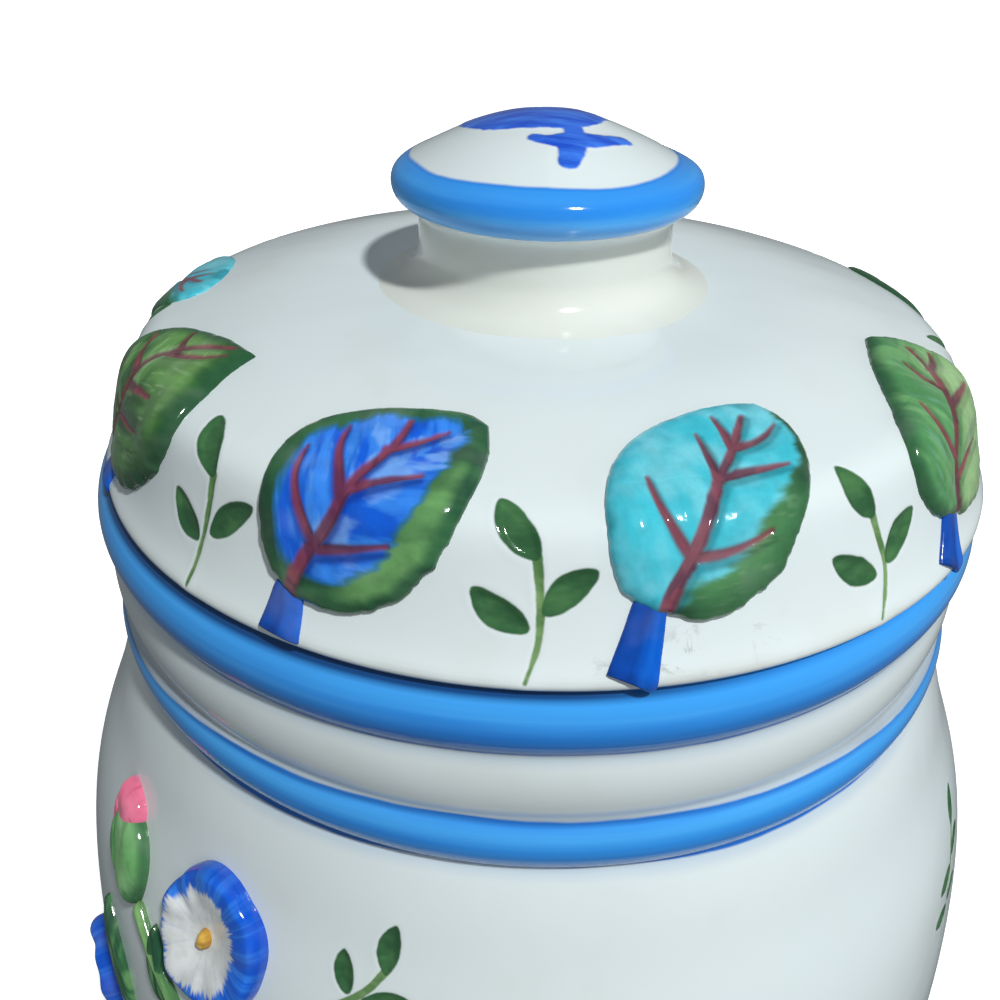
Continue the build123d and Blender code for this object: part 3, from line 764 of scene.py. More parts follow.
def sprig_fields(prof, s0, sprigs, th, s):
    """Distances to sprig leaves and stems, for points on a wall."""
    leaf, stem = np.full(len(th), 9.0), np.full(len(th), 9.0)
    r = prof.at(s)[0]
    for g in sprigs:
        d = (th - g["th0"] + math.pi) % (2 * math.pi) - math.pi
        pts = np.concatenate([g["stem"], *g["leaves"]])
        lo, hi = pts.min(0) - 4, pts.max(0) + 4
        x, q = d * r, s - s0
        sel = np.flatnonzero((x > lo[0]) & (x < hi[0]) & (q > lo[1]) & (q < hi[1]))
        if not len(sel):
            continue
        P = np.stack([x[sel], q[sel]], 1)
        stem[sel] = np.minimum(stem[sel], sd_line(P, g["stem"], *g["w"]))
        for poly in g["leaves"]:
            leaf[sel] = np.minimum(leaf[sel], sd_poly(P, poly))
    return leaf, stem


def sunk(leaf, stem):
    """Depth of the pressed-in sprigs, with a slight raised lip."""
    h = -0.34 * sm(0.0, -1.0, leaf) - 0.16 * sm(0.1, -0.5, stem) * sm(-0.2, 0.6, leaf)
    return h + 0.025 * np.exp(-(((np.minimum(leaf, stem) - 0.55) / 0.35) ** 2))


# ---------------------------------------------------------------- jar wall
in_s = JAR.find(60.5, 160.0)
jar_coarse = np.where(JAR.s < JAR.find(66.0, 2.0), 5.0, np.where(JAR.s < S_LOW0, 2.3, np.where(JAR.s < in_s, 0.9, 5.5)))


def near_jar(th, s):
    a, b = sprig_fields(JAR, S_Z60, JAR_SPRIGS, th, s)
    return (np.minimum(a, b) < 1.9) & (s < S_LOW0)


th, s, faces = turned(JAR.rows(jar_coarse, fine=0.28, bend=0.11), 360, near_jar, 5)
outer = s < S_LOW0
leaf_d, stem_d = sprig_fields(JAR, S_Z60, JAR_SPRIGS, np.where(outer, th, 0.0), np.where(outer, s, 0.0))
h = sunk(leaf_d, stem_d)
wav = 0.22 * noise(3.1 * np.sin(th), 3.1 * np.cos(th), 0.0, 21)
thd = (th / D + 180) % 360 - 180
# the lower band was laid by hand: it sags a little and thins towards both sides
sag = sm(8, 28, np.abs(thd)) * sm(120, 80, np.abs(thd))
slim = sm(28, 54, np.abs(thd)) * sm(120, 80, np.abs(thd))
low0, low1 = S_LOW0 - 0.7 * sag, S_LOW1 - 0.6 * sag - 1.1 * slim
band = np.maximum(np.minimum(s - low0, low1 - s), np.minimum(s - S_UP0, S_UP1 + 1.2 - s)) + wav
band = np.where(s > S_RIM1, -9.0, np.maximum(band, -9.0))
tier = np.where(s < 0.5 * (S_LOW1 + S_UP0), (s - S_LOW0) / (S_LOW1 - S_LOW0), (s - S_UP0) / (S_UP1 - S_UP0)).clip(-0.5, 1.5)
# Painted shade: a dark navy line under the lid's edge and along the crease above the lower band, weaker towards the lit
# front-right, and a thin blue-grey painted shade over the strip of white roll left above the narrowed lower band.
shadow_side = 1 - 0.75 * sm(2, 34, thd) * sm(130, 100, thd)
gap_shade = np.maximum(sm(-2.1, -1.3, s - S_UP1) * (s < S_RIM1), 0.55 * np.exp(-(((s - low1 + 0.3) / 0.4) ** 2))) * shadow_side
gap_shade = np.maximum(gap_shade, 0.34 * sm(-0.2, 0.2, s - low1) * sm(0.9, 0.1, s - S_LOW1) * sm(0.3, 1.2, S_LOW1 - low1))
z = JAR.at(s)[1]
hx = ((th - 17.2 * D + math.pi) % (2 * math.pi) - math.pi) * JAR.at(s)[0]
hair = np.abs(hx + 0.5 * noise(z / 6.0, 0.0, 0.0, 31)) + 9 * (1 - sm(116, 119, z) * (1 - sm(131, 134, z)))
bare = np.where((s > JAR.find(56.6, 1.5)) & (s < JAR.find(64.6, 0.5)), 1.0, 0.0)
jar = make("jar_wall", jar_at(th, s, h), faces, {"leaf_d": leaf_d, "stem_d": stem_d, "band": band, "hair_d": np.where(outer, hair, 9.0), "bare": bare, "tier": tier, "gap_shade": gap_shade})
settle(jar, "jar", "white_glaze_jar", "jar_body")

# ---------------------------------------------------------------- lid wall
lid_coarse = np.where(LID.s < S_EDGE, 4.0, np.where(LID.r < 26, 4.0, 1.5))


def near_lid(th, s):
    a, b = sprig_fields(LID, S_EDGE, LID_SPRIGS, th, s)
    return (np.minimum(a, b) < 1.3) & (s > S_EDGE - 2)


th, s, faces = turned(LID.rows(lid_coarse, fine=0.28, bend=0.11), 400, near_lid, 4, loop=True)
leaf_d, stem_d = sprig_fields(LID, S_EDGE, LID_SPRIGS, th, np.where(s > S_EDGE - 3, s, -99.0))
h = sunk(leaf_d, stem_d)
q = s - S_EDGE
thd = (th / D + 180) % 360 - 180
smudge = np.exp(-(((thd - 18) / 5.0) ** 2)) * np.exp(-(((q - 2.6) / 2.4) ** 2)) + 0.5 * np.exp(-(((thd - 12) / 9.0) ** 2)) * np.exp(-(((q - 1.2) / 1.0) ** 2))
smudge += 0.45 * np.exp(-(((thd + 150) / 7.0) ** 2)) * np.exp(-(((q - 2.0) / 1.6) ** 2)) + 0.4 * np.exp(-(((thd - 98) / 6.0) ** 2)) * np.exp(-(((q - 1.6) / 1.4) ** 2))
rim = np.exp(-(((q + 1.2) / 1.1) ** 2))
lid = make("lid_dome", lid_at(th, s, h), faces, {"leaf_d": leaf_d, "stem_d": stem_d, "smudge": smudge, "rim": rim})
settle(lid, "lid", "white_glaze_lid", "lid_shell")

# ---------------------------------------------------------------- knob
knob_rows = KNOB.rows(np.where(KNOB.s < KNOB.find(2.5, 192), 1.6, 0.7), fine=0.16, bend=0.10)
th, s, faces = turned(knob_rows, 288)
S_B0, S_B1 = KNOB.find(20.9, 202.0), KNOB.find(20.0, 208.6)
r, z, _, _ = KNOB.at(s)
band = np.maximum(np.minimum(s - S_B0, S_B1 + 1.6 * np.clip(np.sin(th), 0, 1) ** 1.5 - s) + 0.25 * noise(2.5 * np.sin(th), 2.5 * np.cos(th), 0.0, 41), -9.0)
P = np.stack([r * np.sin(th), -r * np.cos(th)], 1)
on_top = (s > S_B1 - 3) & (z > 207)
strokes = [
    ([(-10.6, 3.6), (-9.6, -0.8), (-6.6, -4.0), (-2.4, -4.9), (1.8, -4.6), (4.6, -2.4), (6.0, 1.6)], 2.6, 2.3),
    ([(-9.2, 2.8), (-5.6, -0.4), (-1.0, -1.4), (3.2, -0.2)], 2.5, 2.2),
    ([(-7.6, 5.2), (-3.6, 2.8), (0.4, 2.2), (3.6, 3.2)], 2.3, 1.9),
    ([(3.4, -9.6), (3.4, -7.6), (3.0, -5.4)], 1.5, 1.4),
    ([(3.2, -9.9), (0.4, -10.7), (-2.0, -9.9)], 1.9, 0.8),
    ([(3.8, -9.8), (6.0, -9.0), (8.4, -7.4), (10.8, -5.4)], 1.9, 0.9),
    ([(3.4, -10.0), (3.1, -12.6), (2.8, -14.8)], 2.0, 1.5),
]
brush = np.full(len(P), 9.0)
for path, w0, w1 in strokes:
    brush[on_top] = np.minimum(brush[on_top], sd_line(P[on_top], smooth_path(path, 20), w0, w1))
h = 0.12 * sm(0.3, -0.5, brush)
# the neck below the cap is marked for painted shade
knob = make("knob", knob_at(th, s, h), faces, {"band": band, "brush_d": brush, "neck_shade": sm(202.0, 199.0, z), "tier": ((s - S_B0) / (S_B1 - S_B0)).clip(-0.5, 1.5)})
settle(knob, "lid", "white_glaze_knob", "lid_knob")


# ---------------------------------------------------------------- raised leaves on the lid
# Outlines run from the tip round the left edge, past the stalk and back up the right edge, as (x, s).
FULL_LEAF = [(9.4, 31.0), (7.0, 32.5), (2.6, 32.8), (-3.2, 31.4), (-8.6, 28.2), (-12.2, 23.8), (-13.3, 18.0), (-13.0, 12.2), (-11.2, 7.4), (-8.0, 4.6), (-5.2, 4.2), (-0.8, 4.1), (4.2, 5.9), (8.2, 9.8), (10.6, 14.6), (11.6, 20.5), (10.9, 27.0)]
ROUND_LEAF = [(11.2, 31.6), (6.8, 32.8), (1.2, 32.4), (-4.6, 30.2), (-9.4, 25.8), (-12.3, 20.6), (-13.5, 14.8), (-12.4, 9.6), (-9.2, 7.3), (-6.4, 6.4), (-2.6, 5.5), (2.0, 7.0), (6.4, 9.6), (9.0, 13.8), (11.9, 18.2), (13.9, 23.2), (13.5, 28.2)]
BROAD_LEAF = [(8.0, 30.4), (1.6, 28.6), (-3.6, 25.8), (-8.2, 22.4), (-12.4, 19.2), (-15.0, 15.2), (-14.4, 10.6), (-11.4, 6.6), (-7.3, 5.0), (-2.4, 3.4), (3.4, 3.2), (8.0, 5.8), (10.8, 11.0), (12.6, 17.0), (13.2, 22.4), (11.6, 27.0)]
CURLED_LEAF = [(5.8, 31.0), (-1.4, 29.8), (-7.2, 27.2), (-12.2, 23.8), (-14.6, 19.0), (-13.8, 12.6), (-10.8, 6.8), (-6.0, 3.0), (-1.0, 2.4), (4.0, 3.6), (8.2, 6.8), (11.4, 10.4), (12.7, 14.2), (11.8, 19.0), (9.4, 23.2), (7.0, 27.4)]
# midrib first, then the side veins
FULL_VEINS = [
    [(-7.5, 4.9), (-6.2, 8.6), (-4.4, 11.8), (-2.7, 14.8), (-1.8, 17.8), (-0.5, 21.0), (0.8, 24.6), (0.9, 28.8)],
    [(-4.7, 11.6), (-7.0, 15.0), (-8.6, 17.8), (-9.0, 21.4)], [(-2.2, 17.0), (-4.2, 20.4), (-5.4, 23.4), (-5.6, 26.0)],
    [(-5.2, 10.9), (-1.0, 11.8), (4.2, 13.2)], [(-2.0, 17.6), (1.3, 19.2), (5.6, 20.8)], [(0.4, 23.8), (2.8, 25.4), (5.8, 28.0)],
]
ROUND_VEINS = [
    [(-7.9, 7.9), (-7.0, 9.9), (-5.6, 12.0), (-3.6, 15.2), (-1.4, 18.2), (0.8, 21.0), (3.2, 23.6), (5.4, 26.4), (7.6, 29.2)],
    [(-4.9, 13.1), (-6.6, 16.2), (-7.4, 18.8), (-7.4, 21.8)], [(0.4, 20.4), (0.7, 24.2), (0.8, 27.8)], [(4.1, 24.8), (4.2, 27.4), (4.0, 30.2)],
    [(-4.9, 13.1), (-1.2, 13.2), (4.6, 14.6)], [(0.6, 20.8), (4.8, 20.9), (9.6, 20.8)], [(4.1, 24.7), (7.6, 25.0), (11.2, 26.9)],
]
BROAD_VEINS = [
    [(-7.0, 5.4), (-6.4, 9.6), (-4.8, 13.4), (-1.2, 16.6), (2.0, 19.0), (5.6, 21.6), (8.6, 24.8)],
    [(-6.4, 9.6), (-1.0, 10.8), (5.0, 10.8)], [(-0.2, 17.3), (4.8, 16.9), (9.4, 16.4)], [(-5.4, 12.4), (-7.0, 16.4), (-5.6, 20.0)],
    [(1.4, 18.6), (1.6, 21.6), (3.4, 24.8)], [(5.0, 21.2), (7.8, 21.2), (10.4, 21.8)],
]
CURLED_VEINS = [
    [(-7.4, 4.4), (-6.6, 8.0), (-4.8, 11.6), (-3.4, 15.4), (-4.0, 18.8), (-3.0, 22.4), (-0.4, 26.0), (3.6, 29.2)],
    [(-3.6, 17.2), (-8.4, 18.8), (-11.2, 20.8)], [(-5.2, 10.6), (-8.8, 12.6), (-11.4, 15.6)], [(-3.4, 15.6), (0.6, 16.4), (4.8, 17.0)],
    [(-4.7, 11.6), (0.0, 11.8), (4.6, 12.3)], [(-3.2, 21.6), (1.6, 24.4), (4.8, 27.6)], [(-2.4, 23.2), (-5.0, 24.8), (-6.0, 26.2)],
]


def lower(shape, veins, top, foot=3.2, wide=1.0):
    """The same leaf drawn shorter, between foot and top."""
    lo, hi = min(q for _, q in shape), max(q for _, q in shape)
    f = lambda x, q: (x * wide, foot + (q - lo) * (top - foot) / (hi - lo))
    return [f(*p) for p in shape], [[f(*p) for p in v] for v in veins]


def leaf_edge(points, seed, n=420):
    """Smooth outline with a corner at the tip and a slightly nibbled edge."""
    P = cubic(list(points) + [points[0]], step=0.1)
    P = resample(P[:-1], n)
    g = np.roll(P, -1, 0) - np.roll(P, 1, 0)
    g /= np.hypot(g[:, 0], g[:, 1])[:, None]
    t = np.arange(n) / n * 2 * math.pi
    nib = 0.16 * noise(9 * np.cos(t), 9 * np.sin(t), 0.0, seed) + 0.10 * noise(22 * np.cos(t), 22 * np.sin(t), 0.0, seed + 1)
    nib = nib * (0.45 + 0.9 * sm(18.0, 8.0, P[:, 1])) * sm(0.0, 0.25, np.minimum(t, 2 * math.pi - t))
    return P + nib[:, None] * np.stack([g[:, 1], -g[:, 0]], 1)


def paint_leaf(kind, L, u, w, de, vd, under, seed):
    """Colour of a painted leaf. u runs base to tip, w is left of the middle, de is in from the edge,
    vd is off the veins and under is off the veins' lower sides, where the leaf and the veins get painted shade."""
    a, b = u * L, np.abs(w)
    along, across = a * 0.62 + b * 0.78, a * 0.78 - b * 0.62
    sd = np.where(w > 0, 0.0, 40.0)
    st = fbm(along * 0.10 + sd, across * 0.44, 0.0, seed, 3)
    fine = fbm(along * 0.26 + sd, across * 1.25, 0.0, seed + 5, 3)
    bl = fbm(a * 0.13, w * 0.13, 0.0, seed + 9, 3)
    bl2 = fbm(a * 0.20 + 7, w * 0.20, 0.0, seed + 14, 3)
    green = mixc(G_DARK, G_MID, sm(-0.5, 0.6, 0.5 * st + 0.7 * bl))
    # painted shade along the veins' lower sides
    shade = 0.45 * sm(0.35, -0.25, under)
    if kind == "blue":
        band = sm(0.8, 2.4, de) * sm(-2.5, -6.5, w) * sm(0.10, 0.26, u) * sm(0.98, 0.80, u)
        green = mixc(green, G_LIGHT, np.clip(band * (0.80 + 0.5 * st), 0, 1))
        thr = 3.1 + 1.9 * sm(-1.0, -7.0, w) - 0.5 * sm(0.7, 0.95, u)
        q = de + 0.75 * st + 0.40 * fine
        mid = sm(thr - 0.6, thr + 0.8, q)
        blue = mixc(B_ROYAL, B_LIGHT, sm(-0.4, 0.5, st + 0.35 * fine + 0.1))
        blue = mixc(blue, B_PALE, 0.62 * sm(0.10, 0.75, bl2 + 0.35 * fine))
        # painted shade in deep blue under the veins
        blue = mixc(blue, B_DEEP, 0.75 * sm(0.8, -0.2, under))
        c = mixc(green, blue, mid)
        c = mixc(c, col(24, 112, 136), 0.5 * 4 * mid * (1 - mid))
    elif kind in ("turq", "teal"):
        turq = mixc(T_MID, T_LIGHT, sm(-0.4, 0.7, bl + 0.35 * st))
        turq = mixc(turq, T_DEEP, 0.65 * sm(0.12, 0.6, bl2) * sm(5.0, 0.8, de) * sm(-1.0, 2.0, w))
        # painted shade in deep teal under the veins
        turq = mixc(turq, T_DEEP, 0.35 * sm(0.6, -0.1, under))
        q = de + 0.6 * st + 0.35 * fine
        if kind == "turq":
            thr = 1.5 + 4.2 * sm(0.80, 0.36, u)
            out = sm(thr + 0.6, thr - 0.6, q) * sm(0.2, -2.6, w + 0.6 * st)
        else:
            out = sm(1.4, -1.4, w + 10.0 * (u - 0.55) + 1.6 * st)
        green = mixc(green, col(92, 150, 96), 0.6 * sm(1.5, 4.5, de))
        green = mixc(green, G_PALE, 0.20 * sm(0.25, 0.75, fine) * sm(1.0, 3.5, de))
        c = mixc(turq, green, out)
    elif kind == "green":
        c = mixc(col(84, 146, 92), col(116, 174, 112), sm(-0.4, 0.6, st + 0.3 * bl))
        c = mixc(c, col(170, 208, 146), 0.85 * sm(1.5, -2.5, w + 0.8 * st) * sm(0.95, 0.60, u))
        c = mixc(c, col(130, 180, 160), 0.40 * sm(0.30, 0.8, fine + 0.3 * bl2) * sm(0.0, 3.0, w) * sm(1.0, 3.5, de))
        c = mixc(c, G_DARK, 0.70 * sm(1.9, 0.2, de + 0.4 * st))
    else:
        c = mixc(col(58, 108, 56), col(94, 148, 78), sm(-0.3, 0.6, st + 0.4 * bl) * sm(1.0, 4.0, de))
        c = mixc(c, col(124, 172, 98), 0.7 * sm(0.42, 0.75, u) * sm(1.6, 4.0, de))
        c = mixc(c, col(152, 190, 136), 0.55 * sm(0.20, 0.75, fine + 0.3 * bl2) * sm(2.0, 5.0, de))
        c = mixc(c, G_DARK, 0.80 * sm(2.6, 0.3, de + 0.6 * st))
    # darken by the painted shade under the veins
    c = mixc(c, 0.35 * c, shade)
    # the veins are painted darker on their lower side as shade
    red = mixc(V_RED, V_DARK, np.clip(0.8 * sm(-0.1, 0.7, st + bl) + 0.5 * sm(0.15, -0.35, under - vd), 0, 1))
    return mixc(c, red, sm(0.30, -0.24, vd + 0.10 * fine) * 0.93)


def lid_leaf(name, node, th0, points, veins, foot, rise, kind, seed, fine=True):
    b, t = np.array(foot, float), np.array(points[0], float)
    L = float(np.hypot(*(t - b)))
    a = (t - b) / L
    p = np.array([-a[1], a[0]])
    line = leaf_edge(points, seed)
    paths = [(smooth_path(v, 26 if i == 0 else 16), 0.90 if i == 0 else 0.68, 0.42 if i == 0 else 0.24) for i, v in enumerate(veins)]

    def off_veins(P):
        vd = np.full(len(P), 9.0)
        for path, w0, w1 in paths:
            vd = np.minimum(vd, sd_line(P, path, w0, w1))
        return vd

    def height(x, s, de):
        vd = off_veins(np.stack([x, s], 1))
        k = np.clip(de / 2.3, 0, 1)
        h = 0.80 * rise * np.sqrt(1 - (1 - k) ** 2)
        puff = 1 - np.exp(-((np.maximum(vd, 0) / 2.3) ** 2))
        h = h + 0.22 * rise * puff * sm(0.8, 4.5, de) - 0.17 * rise * sm(0.35, -0.45, vd) * sm(0.6, 1.6, de)
        return h + 0.05 * fbm(x * 0.3, s * 0.3, 0.0, seed + 3, 3) * sm(0.4, 1.5, de)

    def paint(x, s, de):
        P = np.stack([x, s], 1)
        q = P - b
        # the second distance, taken a little below the veins, places the painted shade under them
        return paint_leaf(kind, L, (q @ a) / L, q @ p, de, off_veins(P), off_veins(P + (-0.25, 0.85)), seed)

    soup = Soup()
    pad_relief(soup, lid_wall, th0, line, height, paint, 400 if fine else 240, 88 if fine else 50)
    ob = make(name, np.concatenate(soup.v), soup.f, colours=np.concatenate(soup.c))
    return settle(ob, "lid", "green_leaf_glaze", node)


LEAF_T, BACK_LEAF_T, REAR_LEAF_T = 1.8, 0.9, 0.6
LID_LEAVES = [
    ("lid_leaf_left", -58.7, (CURLED_LEAF, CURLED_VEINS), (-6.2, 3.0), LEAF_T, -1.4, "pale", 101),
    ("lid_leaf_front_left", -18.0, (FULL_LEAF, FULL_VEINS), (-8.0, 4.6), LEAF_T, -0.5, "blue", 102),
    ("lid_leaf_front_right", 19.7, (ROUND_LEAF, ROUND_VEINS), (-9.2, 7.3), LEAF_T, -3.3, "turq", 103),
    ("lid_leaf_right", 61.0, (BROAD_LEAF, BROAD_VEINS), (-7.3, 5.0), LEAF_T, -4.4, "green", 104),
    ("lid_leaf_back_right", 106.0, lower(FULL_LEAF, FULL_VEINS, 20.4, wide=0.92), (-7.2, 3.7), BACK_LEAF_T, -1.4, "pale", 105),
    ("lid_leaf_rear_right", 144.0, lower(ROUND_LEAF, ROUND_VEINS, 18.0, wide=0.84), (-7.2, 4.1), REAR_LEAF_T, -2.2, "turq", 106),
    ("lid_leaf_rear", -178.0, lower(CURLED_LEAF, CURLED_VEINS, 18.0, wide=0.84), (-5.2, 3.5), REAR_LEAF_T, -1.4, "green", 107),
    ("lid_leaf_rear_left", -138.5, lower(FULL_LEAF, FULL_VEINS, 18.0, wide=0.84), (-6.6, 3.5), REAR_LEAF_T, -0.8, "blue", 108),
    ("lid_leaf_back_left", -99.0, lower(ROUND_LEAF, ROUND_VEINS, 27.0, wide=0.96), (-8.3, 4.7), BACK_LEAF_T, -1.4, "teal", 109),
]
stalks = Soup()
for node, th0, (points, veins), foot, rise, lean, kind, seed in LID_LEAVES:
    lid_leaf("raised_" + node[4:], node, th0, points, veins, foot, rise, kind, seed, abs(th0) < 75)
    bx, bs = foot

    def stalk_paint(x, s, t, v, seed=seed):
        k = fbm(v * 1.8, t * 1.2, 0.0, seed + 60, 3)
        c = mixc(S_BLUE, S_DARK, 0.85 * sm(-0.3, 0.6, v + 0.5 * k))
        c = mixc(c, col(6, 50, 132), 0.45 * np.exp(-(((v - 0.12 + 0.25 * k) / 0.22) ** 2)) + 0.4 * sm(0.16, 0.02, t))
        return mixc(c, B_LIGHT, 0.22 * sm(0.2, 0.7, fbm(v * 2.0, t * 0.8, 0.0, seed + 71, 2)) * sm(0.0, -0.4, v))

    rib_relief(stalks, lid_wall, th0, [(bx + lean, -0.65), (bx + 0.45 * lean, 0.2 + 0.55 * bs), (bx + 0.1, bs + 2.2)], 2.9, 1.8, lambda a, v: np.full(len(a), min(0.7, 0.75 * rise)), stalk_paint, n=60, m=26, round_ends=(False, True), flat=3.0)
ob = make("raised_leaf_stalks", np.concatenate(stalks.v), stalks.f, colours=np.concatenate(stalks.c))
settle(ob, "lid", "blue_stalk_glaze", "lid_leaf_stalks")


# ---------------------------------------------------------------- bouquets on the belly
def spot(th0, th, z):
    s = belly_s(z)
    return ((th - th0) * D * float(JAR.at(S_Z60 + s)[0]), s)


def flower(soup, eyes, th, z, rad, seed, turn):
    s0 = belly_s(z) + 0.7
    a = np.linspace(0, 2 * math.pi, 200, endpoint=False)
    lobe = 0.022 * np.cos(5 * a + turn) + 0.018 * np.cos(3 * a + 1.3 * turn) + 0.012 * noise(3 * np.cos(a), 3 * np.sin(a), 0.0, seed)
    fold = 0.07 * np.exp(-((((a - 5.35 + math.pi) % (2 * math.pi) - math.pi) / 0.10) ** 2))
    q = rad * (0.965 + lobe - fold)
    line = np.stack([0.94 * q * np.sin(a), s0 + 1.03 * q * np.cos(a)], 1)
    cx, cs = -0.6, s0 - 0.2

    def pol(x, s):
        ang = np.arctan2(x - cx, s - cs)
        return ang, np.hypot(x - cx, s - cs)

    def height(x, s, de):
        ang, rr = pol(x, s)
        k = np.clip(de / 1.5, 0, 1)
        rho = rr / (rr + de + 1e-6)
        dish = 1.0 + 1.75 * sm(0.12, 0.86, rho) + 0.16 * np.cos(10 * ang + turn) * sm(0.35, 0.9, rho)
        dish = dish + 0.12 * np.cos(5 * ang + turn) * sm(0.2, 0.8, rho)
        crease = 0.5 * np.exp(-((((ang - 5.35 + math.pi) % (2 * math.pi) - math.pi) / 0.16) ** 2)) * sm(0.4, 0.8, rho)
        return (dish - crease) * np.sqrt(1 - (1 - k) ** 2)

    def paint(x, s, de):
        ang, rr = pol(x, s)
        ca, sa = np.cos(ang), np.sin(ang)
        ray = fbm(ca * 11, sa * 11, 0.0, seed + 4, 3)
        hairs = fbm(ca * 30, sa * 30, rr * 0.05, seed + 6, 2)
        thr = 3.0 + 1.6 * np.cos(ang - 1.2) + 0.4 * ray + 0.6 * hairs
        m = sm(thr + 0.5, thr - 0.5, de)
        blue = mixc(B_ROYAL, B_LIGHT, sm(-0.3, 0.7, ray + 0.5 * hairs) * 0.75)
        blue = mixc(blue, B_DEEP, 0.5 * sm(1.3, 0.1, de))
        throat = mixc(col(236, 238, 238), col(214, 222, 234), 0.5 * sm(0.1, 0.9, ray))
        throat = mixc(throat, col(236, 226, 190), 0.35 * np.exp(-((rr / 1.8) ** 2)))
        return mixc(throat, blue, m)

    pad_relief(soup, jar_wall, th, line, height, paint, 260, 58, centre=(cx, cs))
    e = np.linspace(0, 2 * math.pi, 40, endpoint=False)
    eye = np.stack([cx + 1.15 * np.sin(e), cs + 1.6 * np.cos(e)], 1)

    def eye_h(x, s, de):
        k = np.clip(de / 1.2, 0, 1)
        return 0.75 + 1.7 * np.sqrt(1 - (1 - k) ** 2) + 0.12 * fbm(x * 1.6, s * 1.6, 0.0, seed + 8, 2)

    def eye_c(x, s, de):
        n = fbm(x * 1.1, s * 1.1, 0.0, seed + 12, 3)
        return mixc(Y_MID, Y_DARK, np.clip(0.7 * sm(0.6, 0.0, de) + 0.5 * sm(0.1, 0.8, n), 0, 1))

    pad_relief(eyes, jar_wall, th, eye, eye_h, eye_c, 56, 16, sink=-0.4)


def swell(t, round_at):
    def f(x, s, de):
        k = np.clip(de / round_at, 0, 1)
        return t * np.sqrt(1 - (1 - k) ** 2)
    return f


